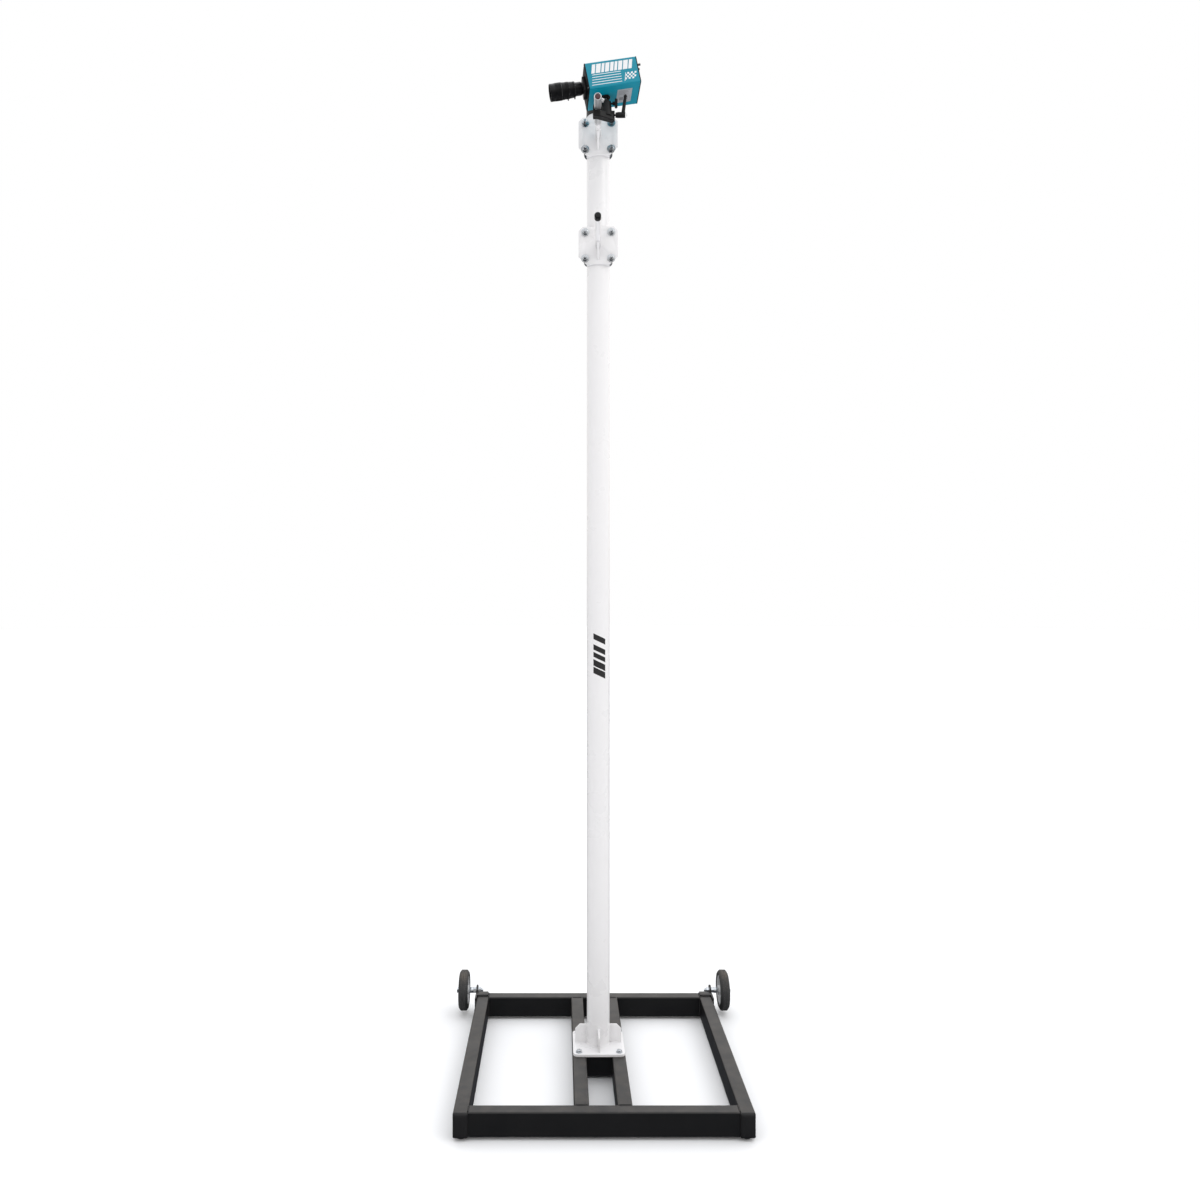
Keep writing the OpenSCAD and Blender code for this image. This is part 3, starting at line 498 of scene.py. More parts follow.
# %% [markdown]
# Nuts and threads are turned shapes too. Their profile is a function of the angle: a hexagon
# reaches further out at its corners, and a thread's crest climbs as it goes round.
# %% Hexagons and threads
def hexagon(across, low, high, bore=0.0, chamfer=30):
    """Profile of a chamfered hexagon: the chamfer cone cuts the flats in shallow curves."""
    rim = across / 2 * 0.96
    slope = math.tan(math.radians(chamfer))

    def profile(angle):
        away = (math.degrees(angle) % 60) - 30
        flat = across / 2 / math.cos(math.radians(away))
        drop = (flat - rim) * slope
        return [(bore, low), (rim, low), (flat, low + drop), (flat, high - drop), (rim, high),
                (bore, high)]
    return profile


def thread(radius, low, high, pitch, bore=0.0):
    """Profile of a screw thread: the crest climbs one pitch in each turn."""
    count = max(4, round((high - low) / pitch * 4))

    def profile(angle):
        points = [(bore, low)]
        for k in range(count + 1):
            h = low + (high - low) * k / count
            phase = (h / pitch - angle / math.tau) % 1
            depth = abs(phase - 0.5) * 2
            fade = min(1, 6 * k / count, 6 * (count - k) / count)
            points.append((radius - pitch * 0.5 * depth * fade - pitch * 0.5 * (1 - fade), h))
        points.append((bore, high))
        return points
    return profile


# %% [markdown]
# Moulded caps and feet are loops of equal point counts, one above the other, joined by quads.
# %% Stacked outlines
def outline(width, depth, radius, steps=6):
    """Points of a rectangle with round corners, in order round its middle."""
    points = []
    for quarter in range(4):
        sx = 1 if quarter in (0, 3) else -1
        sy = 1 if quarter in (0, 1) else -1
        for k in range(steps + 1):
            angle = math.tau / 4 * (quarter + k / steps)
            x = sx * (width / 2 - radius) + radius * math.cos(angle)
            y = sy * (depth / 2 - radius) + radius * math.sin(angle)
            points.append((x, y))
    return points


def stack(bm, matrix, layers):
    """Joins outlines, each given with its height, and closes both ends."""
    rings = [[bm.verts.new(matrix @ Vector((x, y, h))) for x, y in points] for points, h in layers]
    for ring, above in zip(rings, rings[1:]):
        for k in range(len(ring)):
            after = (k + 1) % len(ring)
            bm.faces.new((ring[k], ring[after], above[after], above[k]))
    bm.faces.new(list(reversed(rings[0])))
    bm.faces.new(rings[-1])


# %% [markdown]
# Bent rod is a ring carried along a path. Each new ring keeps the last one's direction as far as
# it can, so the rod doesn't twist.
# %% Swept shapes
def sweep(bm, points, radius, sides=8, closed=False):
    """A round section along a path. radius is a number or a function of the distance run."""
    count = len(points)
    distance = 0.0
    rings = []
    normal = None
    for i, point in enumerate(points):
        ahead = points[(i + 1) % count] if closed or i < count - 1 else point
        behind = points[i - 1] if closed or i > 0 else point
        tangent = (ahead - behind).normalized()
        if normal is None:
            normal = tangent.orthogonal()
        normal = (normal - tangent * normal.dot(tangent)).normalized()
        across = tangent.cross(normal)
        distance += (point - behind).length
        size = radius(distance) if callable(radius) else radius
        ring = []
        for k in range(sides):
            angle = math.tau * k / sides
            ring.append(bm.verts.new(point + (normal * math.cos(angle) + across * math.sin(angle)) * size))
        rings.append(ring)
    pairs = list(zip(rings, rings[1:]))
    if closed:
        pairs.append((rings[-1], rings[0]))
    for ring, after in pairs:
        for k in range(sides):
            other = (k + 1) % sides
            bm.faces.new((ring[k], ring[other], after[other], after[k]))
    if not closed:
        bm.faces.new(list(reversed(rings[0])))
        bm.faces.new(rings[-1])


# %% [markdown]
# A weld bead is the same sweep with a radius that rises and falls, which leaves the ripples of a
# hand-made weld. One helper runs straight and the other runs round a tube. Sizes are in
# millimetres.
# %% Weld beads
FULL_BEAD = 2.2
FINE_BEAD = 2.0
RIPPLE = 0.13


def bead(bm, start, end, size=2.6, pitch=3.0):
    """A straight weld bead with the ripples that the torch leaves."""
    start = Vector(start)
    end = Vector(end)
    length = (end - start).length
    count = max(4, int(length / (pitch * MM) * 4))
    points = [start.lerp(end, k / count) for k in range(count + 1)]

    def ripple(run):
        fade = min(1.0, run / (2 * MM) + 0.45, (length - run) / (2 * MM) + 0.45)
        return size * MM * fade * (1 + RIPPLE * math.cos(math.tau * run / (pitch * MM)))
    sweep(bm, points, ripple)


def round_bead(bm, matrix, radius, size=2.6, pitch=3.0, start=0, end=360):
    """A weld bead round a tube, between two angles in degrees."""
    whole = end - start >= 360
    arc = math.radians(end - start)
    count = int(arc * radius / (pitch * MM)) * 4
    points = []
    for k in range(count if whole else count + 1):
        angle = math.radians(start) + arc * k / count
        points.append(matrix @ Vector((radius * math.cos(angle), radius * math.sin(angle), 0)))

    def ripple(run):
        return size * MM * (1 + RIPPLE * math.cos(math.tau * run / (pitch * MM)))
    sweep(bm, points, ripple, closed=whole)


# %% [markdown]
# Every piece ends the same way: doubled points are merged, normals are turned outward, smooth
# shading stops at sharp edges, and the piece joins the body of the node that it stands for.
# %% Turning a built shape into a piece
MERGE = 0.004 * MM


def finished(name, bm, node, stands_for=(), material=None, sharp=38):
    """Makes the piece, gives it the node's body, slot and finish, and hides the nodes it stands for."""
    bmesh.ops.remove_doubles(bm, verts=bm.verts, dist=MERGE)
    bmesh.ops.recalc_face_normals(bm, faces=bm.faces)
    mesh = bpy.data.meshes.new(name)
    bm.to_mesh(mesh)
    bm.free()
    return as_piece(name, mesh, node, stands_for, material, sharp)


def as_piece(name, mesh, node, stands_for=(), material=None, sharp=38):
    mesh.materials.clear()
    mesh.materials.append(MATERIALS[material or SLOT_OF[node]])
    mesh.shade_smooth()
    mesh.set_sharp_from_angle(angle=math.radians(sharp))
    piece = bpy.data.objects.new(name, mesh)
    bpy.context.scene.collection.objects.link(piece)
    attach(piece, BODY_OF[node])
    if stands_for:
        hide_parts(*stands_for)
    print("piece", name, len(mesh.polygons), "faces on", BODY_OF[node])
    return piece


# %% [markdown]
# Plates, blocks and turned parts whose CAD shape is already right keep it, with their sharp edges
# broken by a narrow bevel. Faces that lie in one plane are merged first, so the bevel runs clean.
# %% Broken edges
def broken_edges(node, width, segments=2, material=None):
    """A copy of a CAD node whose sharp edges are broken, as a file or a paint film leaves them."""
    bm = bmesh.new()
    bm.from_mesh(frame["nodes"][node].data)
    bmesh.ops.remove_doubles(bm, verts=bm.verts, dist=MERGE)
    bmesh.ops.dissolve_limit(bm, angle_limit=math.radians(0.5), verts=bm.verts, edges=bm.edges)
    limit = math.radians(32)
    sharp = [edge for edge in bm.edges if len(edge.link_faces) == 2 and edge.calc_face_angle(0) > limit]
    bmesh.ops.bevel(bm, geom=sharp, offset=width * MM, segments=segments, profile=0.5, affect="EDGES",
                    clamp_overlap=True, loop_slide=True)
    return finished(node + "_softened", bm, node, [node], material, sharp=50)


# %% [markdown]
# ## The base frame
# The beams are plain box tube with true round corners, so their CAD shape stays. What makes a
# fabricated frame look real is how its tubes are joined: each joint gets a rippled weld bead on
# the top and down the sides, painted over with the same powder coat.
# %% Weld beads on the base frame
MAST_LOW, MAST_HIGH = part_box("mast_tube")
MAST = (MAST_LOW + MAST_HIGH) / 2
MAST_R = (MAST_HIGH.x - MAST_LOW.x) / 2
beam_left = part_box("side_beam_left")
beam_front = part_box("front_beam")
TUBE_W = beam_left[1].x - beam_left[0].x
TUBE_R = 5 * MM
top = beam_left[1].z
bottom = beam_left[0].z
bm = bmesh.new()
for side in (-1, 1):
    inner = MAST.x + side * (beam_front[1].x - beam_front[0].x) / 2
    for node in ("front_beam", "rear_beam"):
        low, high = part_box(node)
        bead(bm, (inner, low.y + TUBE_R, top), (inner, high.y - TUBE_R, top), FULL_BEAD)
        for y in (low.y, high.y):
            if abs(y - MAST.y) < abs((low.y + high.y) / 2 - MAST.y):
                bead(bm, (inner, y, bottom + TUBE_R), (inner, y, top - TUBE_R), FULL_BEAD)
    low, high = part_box("centre_beam_left" if side < 0 else "centre_beam_right")
    for y in (low.y, high.y):
        bead(bm, (low.x + TUBE_R, y, top), (high.x - TUBE_R, y, top), FULL_BEAD)
        for x in (low.x, high.x):
            bead(bm, (x, y, bottom + TUBE_R), (x, y, top - TUBE_R), FINE_BEAD)
    cross_low, cross_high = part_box("cross_members")
    x = low.x if side > 0 else high.x
    for y in (cross_low.y, cross_low.y + TUBE_W, cross_high.y - TUBE_W, cross_high.y):
        bead(bm, (x, y, bottom + TUBE_R), (x, y, top - TUBE_R), FINE_BEAD)
finished("base_frame_welds", bm, "front_beam")

# %% [markdown]
# Each open tube end is closed with a moulded cap: a straight lip and a cushion-shaped dome.
# Stacking rounded outlines that shrink along a quarter curve gives that dome with few faces.
# %% Domed end caps
cap_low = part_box("beam_end_caps")[0]
dome_height = beam_left[0].y - cap_low.y
TUBE_H = top - bottom
CAP_SKIRT = 20 * MM
# (inset, height) in millimetres, on a dome that is 9 mm high
CAP_DOME = ((0.5, 0.02), (0.1, 0.2), (0, 0.7), (0, 3.0), (0.5, 4.4), (1.6, 5.8), (3.4, 7.1), (6.2, 8.1),
            (10.5, 8.8), (16.5, 9.0))
bm = bmesh.new()
for x in ((beam_left[0].x + beam_left[1].x) / 2, MAST.x * 2 - (beam_left[0].x + beam_left[1].x) / 2):
    for side, y in ((-1, beam_left[0].y), (1, beam_left[1].y)):
        matrix = frame_at((x, y, (top + bottom) / 2), (0, side, 0), (side, 0, 0))
        layers = [(outline(TUBE_W - 6.4 * MM, TUBE_H - 6.4 * MM, 2 * MM), -CAP_SKIRT),
                  (outline(TUBE_W - 6.1 * MM, TUBE_H - 6.1 * MM, 2 * MM), -0.2 * MM)]
        for inset, h in CAP_DOME:
            width = TUBE_W - 2 * inset * MM
            tall = TUBE_H - 2 * inset * MM
            corner = max(TUBE_R - inset * 0.2 * MM, 2 * MM)
            layers.append((outline(width, tall, corner), dome_height * h / 9))
        stack(bm, matrix, layers)
finished("end_caps_moulded", bm, "beam_end_caps", ["beam_end_caps"])

# %% [markdown]
# The rubber feet are bumpers held by one screw, with a recess in the middle and a rounded rim.
# %% Rubber bumpers
foot_low, foot_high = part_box("rubber_feet")
FOOT_R = 17 * MM
foot_top = foot_high.z
bm = bmesh.new()
screws = bmesh.new()
for x in (foot_low.x + FOOT_R, foot_high.x - FOOT_R):
    for y in (foot_low.y + FOOT_R, foot_high.y - FOOT_R):
        matrix = Matrix.Translation((x, y, 0))
        shape = soften([(0, 4 * MM), (6.5 * MM, 4 * MM), (6.5 * MM, 0), (FOOT_R - 3.5 * MM, 0),
                        (FOOT_R, 4 * MM), (FOOT_R, foot_top), (0, foot_top)], 1.4 * MM, loop=False)
        spin(bm, matrix, shape, 48, loop=False)
        spin(screws, matrix, soften([(0, 3.9 * MM), (0, 2.2 * MM), (3 * MM, 2.0 * MM), (5 * MM, 2.8 * MM),
                                     (5.2 * MM, 3.9 * MM)], 0.5 * MM), 24)
finished("feet_moulded", bm, "rubber_feet", ["rubber_feet"])
finished("foot_screws", screws, "rubber_feet", material="zinc_steel")

# %% [markdown]
# ## Wheels
# A tip-and-roll wheel is a pressed steel hub with a solid rubber tyre. The tyre is turned from one
# profile: bevelled shoulders, a shallow groove on each side of the tread and a raised ring on
# the sidewall. Its tread is cut by small cross slots, so its profile changes with the angle.
# %% Tyres
AXLE = {-1: JOINTS["left_wheel_spin"], 1: JOINTS["right_wheel_spin"]}
NODE_SIDE = {-1: "left", 1: "right"}
RIM_R = 56 * MM
TREAD_SLOTS = 60
SLOT_SHARE = 0.18
SLOT_DEPTH = 0.9 * MM
for side, joint in AXLE.items():
    name = NODE_SIDE[side]
    matrix = frame_at(joint["pos_m"], (side, 0, 0), (0, 0, 1))
    high = reach(name + "_tyre", matrix)[1]
    ro = high.x
    half = high.z

    def tread(angle):
        """Half of the section from the bead to the tread, mirrored to the other side."""
        slot = SLOT_DEPTH if (angle / math.tau * TREAD_SLOTS) % 1 < SLOT_SHARE else 0.0
        right = [(RIM_R, half - 4 * MM), (RIM_R + 1.2 * MM, half - 1.6 * MM),
                 (RIM_R + 3 * MM, half - 0.3 * MM), (RIM_R + 4.5 * MM, half),
                 (RIM_R + 6 * MM, half - 0.9 * MM), (RIM_R + 9 * MM, half - 1.1 * MM),
                 (ro - 9.5 * MM, half - 0.6 * MM), (ro - 8 * MM, half - 1.6 * MM),
                 (ro - 3 * MM, 13.2 * MM), (ro - 0.9 * MM - slot, 11.2 * MM), (ro - slot, 10.1 * MM),
                 (ro - slot, 7.6 * MM), (ro - 1.1 * MM, 7.3 * MM), (ro - 1.1 * MM, 6.1 * MM),
                 (ro, 5.8 * MM), (ro, 1.0 * MM)]
        left = [(r, -h) for r, h in reversed(right)]
        return left + list(reversed(right))
    bm = bmesh.new()
    spin(bm, matrix, tread, 240)
    finished(name + "_tyre_moulded", bm, name + "_tyre", [name + "_tyre"], sharp=45)

# %% [markdown]
# The hub keeps its CAD holes, and only its edges are broken. A pressed hub also has a rolled lip
# on both sides of the rim and a small grease nipple on the boss, which are added here.
# %% Hubs
LIP_R = 52.2 * MM
LIP_ROD_R = 1.3 * MM
for side, joint in AXLE.items():
    name = NODE_SIDE[side]
    matrix = frame_at(joint["pos_m"], (side, 0, 0), (0, 0, 1))
    broken_edges(name + "_wheel_hub", 0.8)
    bm = bmesh.new()
    for end in (-1, 1):
        lip = matrix @ Matrix.Translation((0, 0, end * 14.6 * MM))
        spin(bm, lip, [(LIP_R + LIP_ROD_R * math.cos(math.tau * k / 10),
                        LIP_ROD_R * math.sin(math.tau * k / 10)) for k in range(10)], 96)
        spin(bm, matrix @ Matrix.Translation((0, 0, end * 4.2 * MM)),
             soften([(20 * MM, -0.6 * MM), (24 * MM, -0.6 * MM), (24 * MM, 0.5 * MM),
                     (20 * MM, 0.5 * MM)], 0.5 * MM), 64)
    nipple = matrix @ Matrix.Translation((16.6 * MM, 0, 9 * MM))
    nipple = nipple @ Matrix.Rotation(math.radians(90), 4, "Y")
    spin(bm, nipple, soften([(0, 0), (2.6 * MM, 0), (2.6 * MM, 2 * MM), (1.5 * MM, 2.6 * MM),
                             (1.9 * MM, 4 * MM), (0.9 * MM, 5 * MM), (0, 5 * MM)], 0.3 * MM, loop=False),
         24, loop=False)
    finished(name + "_hub_lips", bm, name + "_wheel_hub")

# %% [markdown]
# The axle is a bolt from outside, a bushing, two washers and two nuts that clamp the bracket and
# the beam. Hexagons are turned shapes here too: their profile reaches further out at each corner,
# and the chamfer cone then cuts the flats in the shallow curves that real nuts have.
# %% Axle bolts, nuts and washers
AXLE_R = 12 * MM / 2
AXLE_HEAD = 7.5 * MM
THREAD_END = 437.2 * MM
NUT = 10 * MM
WASHER = 2 * MM
TAB = 6 * MM
bolts = bmesh.new()
nuts = bmesh.new()
for side, joint in AXLE.items():
    matrix = frame_at((MAST.x, joint["pos_m"][1], joint["pos_m"][2]), (side, 0, 0), (0, 0, 1))
    bolt_high = reach("axle_bolts", matrix)[1]
    face = bolt_high.z - AXLE_HEAD
    inner_nut = THREAD_END + 8 * MM
    inner_washer = inner_nut + NUT
    outer_washer = inner_washer + WASHER + TAB
    outer_nut = outer_washer + WASHER
    spin(bolts, matrix, hexagon(19 * MM, face, bolt_high.z))
    shank = THREAD_END + 38 * MM
    spin(bolts, matrix, [(0, shank), (AXLE_R, shank), (AXLE_R, face + 1 * MM), (0, face + 1 * MM)], 48)
    spin(bolts, matrix, thread(AXLE_R, THREAD_END, THREAD_END + 39 * MM, 1.75 * MM), 32)
    for h in (inner_nut, outer_nut):
        spin(nuts, turned(matrix, 11), hexagon(19 * MM, h, h + NUT, AXLE_R - 0.4 * MM), 72)
    for h in (inner_washer, outer_washer):
        spin(nuts, matrix, tube_profile(12 * MM, AXLE_R, h, h + WASHER, 0.4 * MM), 48)
finished("axle_bolts_threaded", bolts, "axle_bolts", ["axle_bolts"])
finished("axle_nuts_chamfered", nuts, "axle_nuts", ["axle_nuts"])
broken_edges("axle_sleeves", 0.4)
broken_edges("wheel_brackets", 0.9)

# %% [markdown]
# The wheel brackets are welded to the rear corners, along the back edge of the top leg and down
# the side of the beam.
# %% Welds on the wheel brackets
bm = bmesh.new()
for side in (-1, 1):
    x_side = MAST.x + side * (MAST.x - beam_left[0].x)
    y_back = beam_left[1].y
    x_out = x_side + side * 1.0 * MM
    z_top = top + 1.0 * MM
    bead(bm, (x_side - side * 40 * MM, y_back - 34 * MM, z_top),
         (x_side - side * 4 * MM, y_back - 34 * MM, z_top), FULL_BEAD)
    bead(bm, (x_side - side * 42 * MM, y_back - 32 * MM, z_top),
         (x_side - side * 42 * MM, y_back - 2 * MM, z_top), FULL_BEAD)
    bead(bm, (x_out, y_back - 70 * MM, bottom + 22 * MM),
         (x_out, y_back - 70 * MM, top - 6 * MM), FULL_BEAD)
finished("wheel_bracket_welds", bm, "wheel_brackets")

# %% [markdown]
# ## The foot of the mast
# The base plate and its gussets are flame-cut plate under a thick white coat, so every edge is
# slightly round. The tube is welded all the way round, and each gusset along its foot and back.
# %% Base plate, gussets and their welds
broken_edges("base_plate", 1.2, 3)
broken_edges("base_gussets", 0.9)
foot_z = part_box("base_plate")[1].z
gusset_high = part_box("base_gussets")[1]
bm = bmesh.new()
centre = Matrix.Translation((MAST.x, MAST.y, foot_z))
GUSSET_GAP = 8
for quarter in range(4):
    round_bead(bm, centre @ Matrix.Translation((0, 0, 0.6 * MM)), MAST_R + 0.4 * MM, 2.8, 3.2,
               90 * quarter + GUSSET_GAP, 90 * quarter + 90 - GUSSET_GAP)
    axis = quarter % 2
    long_reach = gusset_high[axis] - MAST[axis]
    for edge in (-1, 1):
        spot = turned(centre, 90 * quarter) @ Matrix.Translation((0, edge * 3.4 * MM, 0.5 * MM))
        bead(bm, spot @ Vector((MAST_R + 3 * MM, 0, 0)), spot @ Vector((long_reach - 2 * MM, 0, 0)),
             FULL_BEAD)
        bead(bm, spot @ Vector((MAST_R, 0, 4 * MM)), spot @ Vector((MAST_R, 0, 62 * MM)), FULL_BEAD)
finished("mast_foot_welds", bm, "base_plate")

# %% [markdown]
# Four flanged-head bolts hold the plate down. Each has a turned washer face and a domed top.
# %% Base bolts and washers
BOLT_X = 68.5 * MM
BOLT_Y = 78 * MM
bolts = bmesh.new()
washers = bmesh.new()
bolt_low, bolt_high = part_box("base_bolts")
for x in (MAST.x - BOLT_X, MAST.x + BOLT_X):
    for y in (MAST.y - BOLT_Y, MAST.y + BOLT_Y):
        place = turned(Matrix.Translation((x, y, 0)), 17 if x * y > 0 else 41)
        spin(bolts, place, hexagon(16 * MM, foot_z + 2 * MM, bolt_high.z), 72)
        spin(bolts, place, thread(5 * MM, bolt_low.z, foot_z + 2.5 * MM, 1.5 * MM), 24)
        spin(washers, place, tube_profile(11 * MM, 5.5 * MM, foot_z, foot_z + 2 * MM, 0.35 * MM), 48)
finished("base_bolts_threaded", bolts, "base_bolts", ["base_bolts"])
finished("base_washers_turned", washers, "base_washers", ["base_washers"])

# %% [markdown]
# ## Mast cap and mast marking
# A dipped vinyl cap has a rounded crown, and its open end rolls out into a thin bead.
# %% Mast cap
cap_low, cap_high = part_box("mast_cap")
cap_r = (cap_high.x - cap_low.x) / 2
here = Matrix.Translation((MAST.x, MAST.y, 0))
bm = bmesh.new()
inner = MAST_R + 0.05 * MM
crown = cap_high.z
spin(bm, here, soften([(0, crown - 2 * MM), (inner, crown - 2 * MM), (inner, cap_low.z),
                       (cap_r - 0.5 * MM, cap_low.z), (cap_r, cap_low.z + 1.2 * MM),
                       (cap_r - 0.5 * MM, cap_low.z + 3 * MM), (cap_r - 0.4 * MM, crown - 5 * MM),
                       (cap_r - 5 * MM, crown), (0, crown)], 2.2 * MM, 5, loop=False), 96, loop=False)
finished("mast_cap_dipped", bm, "mast_cap", ["mast_cap"])


# %% [markdown]
# The mark on the mast is a plain stack of slanted black bars, cut as thin film. Film is laid out
# flat as four corners, measured along the arc and up, and is then wrapped round the tube.
# %% Film that follows the tube
def film_on_tube(bm, corners, z_middle, turn, lift=0.12, steps=10):
    """A thin four-sided film. Corners are (along the arc, up) in millimetres."""
    a, b, c, d = [Vector(corner) for corner in corners]
    faces = []
    for radius in (MAST_R + lift * MM, MAST_R + 0.01 * MM):
        grid = []
        for i in range(steps + 1):
            s = i / steps
            row = []
            for j in range(3):
                spot = a.lerp(b, s).lerp(d.lerp(c, s), j / 2) * MM
                angle = math.radians(turn - 90) + spot.x / MAST_R
                row.append(bm.verts.new((MAST.x + radius * math.cos(angle),
                                         MAST.y + radius * math.sin(angle), z_middle + spot.y)))
            grid.append(row)
        faces.append(grid)
    outer, inner = faces
    for i in range(steps):
        for j in range(2):
            bm.faces.new((outer[i][j], outer[i + 1][j], outer[i + 1][j + 1], outer[i][j + 1]))
            bm.faces.new((inner[i][j], inner[i][j + 1], inner[i + 1][j + 1], inner[i + 1][j]))
    border = [(i, 0) for i in range(steps)] + [(steps, j) for j in range(2)]
    border += [(i, 2) for i in range(steps, 0, -1)] + [(0, j) for j in range(2, 0, -1)]
    for (i, j), (k, m) in zip(border, border[1:] + border[:1]):
        bm.faces.new((outer[i][j], inner[i][j], inner[k][m], outer[k][m]))


# %% [markdown]
# The mark is five bars. Each is given by its lower edge and its height in millimetres, measured
# from the middle of the mark, and both its edges fall to the right by the same slant.
# %% Mast mark
MARK_Z = 1.4405
MARK_TURN = 4
MARK_HALF = 21.5
SLANT = -10
MARK_BARS = ((-68.5, 22), (-42.5, 22), (-12.5, 17), (12.5, 18.5), (48.5, 20))
bm = bmesh.new()
for low_edge, bar_height in MARK_BARS:
    high_edge = low_edge + bar_height
    film_on_tube(bm, [(-MARK_HALF, low_edge - SLANT), (MARK_HALF, low_edge + SLANT),
                      (MARK_HALF, high_edge + SLANT), (-MARK_HALF, high_edge - SLANT)], MARK_Z, MARK_TURN)
finished("mast_mark", bm, "mast_tube", material="black_ink")

# %% [markdown]
# ## The two brackets
# Both brackets are the same weldment: a clipped plate, a saddle that seats on the mast, a tubular
# peg with a gusset under it, and two U-bolts. A frame of the bracket's own, with Z along the
# peg, lets one function dress both. The U-bolts are bent rod: a swept arc with two straight legs,
# and a real rolled thread on the leg ends where the nuts sit.
# %% Bracket frames
peg_axis = Vector(JOINTS["head_roll"]["axis"])
ROD_R = 5 * MM
BOLT_R = MAST_R + 0.4 * MM + ROD_R
LEVELS = ("lower", "upper")
bracket_frame = {}
for level in LEVELS:
    low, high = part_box(level + "_plate")
    middle = (MAST.x, MAST.y, (low.z + high.z) / 2)
    bracket_frame[level] = frame_at(middle, peg_axis, (0, 0, 1))
    print(level, "bracket at height", round(middle[2], 4), "m")
plate_near, plate_far = reach("upper_plate", bracket_frame["upper"])
PLATE_FACE = plate_far.z
print("plate face at", round(PLATE_FACE / MM, 1), "mm")


# %% [markdown]
# A U-bolt hugs the mast, so its path starts at one leg, runs round the tube and comes back. The
# nuts are turned a little differently on each leg, since nobody lines them up.
# %% U-bolts, nuts and washers
def u_bolt_pair(level):
    matrix = bracket_frame[level]
    node = level + "_u_bolts"
    low, high = reach(node, matrix)
    tip = high.z
    pitch = (high.x - low.x - 2 * ROD_R) / 2
    rods = bmesh.new()
    nuts = bmesh.new()
    for side in (-1, 1):
        thread_from = PLATE_FACE - 4 * MM
        points = [Vector((side * pitch, BOLT_R, thread_from * k / 4)) for k in range(4, 0, -1)]
        for k in range(25):
            angle = math.pi * k / 24
            points.append(Vector((side * pitch, BOLT_R * math.cos(angle), -BOLT_R * math.sin(angle))))
        points += [Vector((side * pitch, -BOLT_R, thread_from * k / 4)) for k in range(1, 5)]
        sweep(rods, [matrix @ point for point in points], ROD_R, 20)
        for leg in (-1, 1):
            spot = matrix @ Matrix.Translation((side * pitch, leg * BOLT_R, 0))
            spin(rods, spot, thread(ROD_R, thread_from - 1 * MM, tip, 1.5 * MM), 28)
            seat = PLATE_FACE + 2 * MM
            spin(nuts, spot, tube_profile(14 * MM, ROD_R, PLATE_FACE, seat, 0.35 * MM), 56)
            nut = hexagon(17 * MM, seat, PLATE_FACE + 10 * MM, ROD_R - 0.4 * MM)
            spin(nuts, turned(spot, 13 * (side + 2 * leg)), nut, 72)
    finished(level + "_u_bolts_threaded", rods, node, [node])
    finished(level + "_nuts_chamfered", nuts, level + "_nuts", [level + "_nuts"])


# %% [markdown]
# The plates are laser-cut and welded: a ring of bead round the root of the peg, two along each
# gusset, and one down both sides of the saddle. Their cut edges are rounded by the paint.
# %% Plates, pegs and welds
PEG_R = 9.5 * MM


def bracket_welds(level):
    matrix = bracket_frame[level]
    bm = bmesh.new()
    round_bead(bm, matrix @ Matrix.Translation((0, 0, PLATE_FACE + 0.5 * MM)), PEG_R + 0.3 * MM,
               FULL_BEAD, 2.8, 205, 515)
    low, high = reach(level + "_peg_gusset", matrix)
    for edge in (-1, 1):
        side = edge * 3.2 * MM
        bead(bm, matrix @ Vector((low.x + 2 * MM, side, PLATE_FACE + 0.4 * MM)),
             matrix @ Vector((-PEG_R - 2 * MM, side, PLATE_FACE + 0.4 * MM)), FINE_BEAD)
        bead(bm, matrix @ Vector((-PEG_R + 0.3 * MM, side * 0.8, PLATE_FACE + 3 * MM)),
             matrix @ Vector((-PEG_R + 0.3 * MM, side * 0.8, high.z - 2 * MM)), 1.9)
    saddle_low, saddle_high = reach(level + "_saddle", matrix)
    for edge in (saddle_low.y, saddle_high.y):
        bead(bm, matrix @ Vector((saddle_low.x + 4 * MM, edge, plate_near.z)),
             matrix @ Vector((saddle_high.x - 4 * MM, edge, plate_near.z)), FINE_BEAD)
    finished(level + "_bracket_welds", bm, level + "_plate")


for level in LEVELS:
    u_bolt_pair(level)
    bracket_welds(level)
    broken_edges(level + "_plate", 0.9)
    broken_edges(level + "_peg_gusset", 0.8)
    broken_edges(level + "_saddle", 0.7)
    broken_edges(level + "_peg", 0.6)

# %% [markdown]
# The free peg wears a dipped vinyl cap and the upper one a moulded plug with a low dome.
# %% Peg cap and plug
matrix = bracket_frame["lower"]
low, high = reach("lower_peg_cap", matrix)
cap_r = high.x
bm = bmesh.new()
spin(bm, matrix, soften([(0, high.z - 1.5 * MM), (9.53 * MM, high.z - 1.5 * MM), (9.53 * MM, low.z),
                         (cap_r - 0.3 * MM, low.z), (cap_r, low.z + 1 * MM),
                         (cap_r - 0.25 * MM, low.z + 2.4 * MM), (cap_r - 0.2 * MM, high.z - 3 * MM),
                         (cap_r - 3 * MM, high.z), (0, high.z)], 1.3 * MM, 4, loop=False), 56, loop=False)
finished("lower_peg_cap_dipped", bm, "lower_peg_cap", ["lower_peg_cap"])
matrix = bracket_frame["upper"]
low, high = reach("upper_peg_plug", matrix)
bm = bmesh.new()
spin(bm, matrix, soften([(0, low.z), (6.8 * MM, low.z), (6.85 * MM, high.z - 2 * MM),
                         (9 * MM, high.z - 2 * MM), (9 * MM, high.z - 1 * MM),
                         (6.5 * MM, high.z - 0.2 * MM), (0, high.z)], 0.7 * MM, loop=False), 56,
     loop=False)
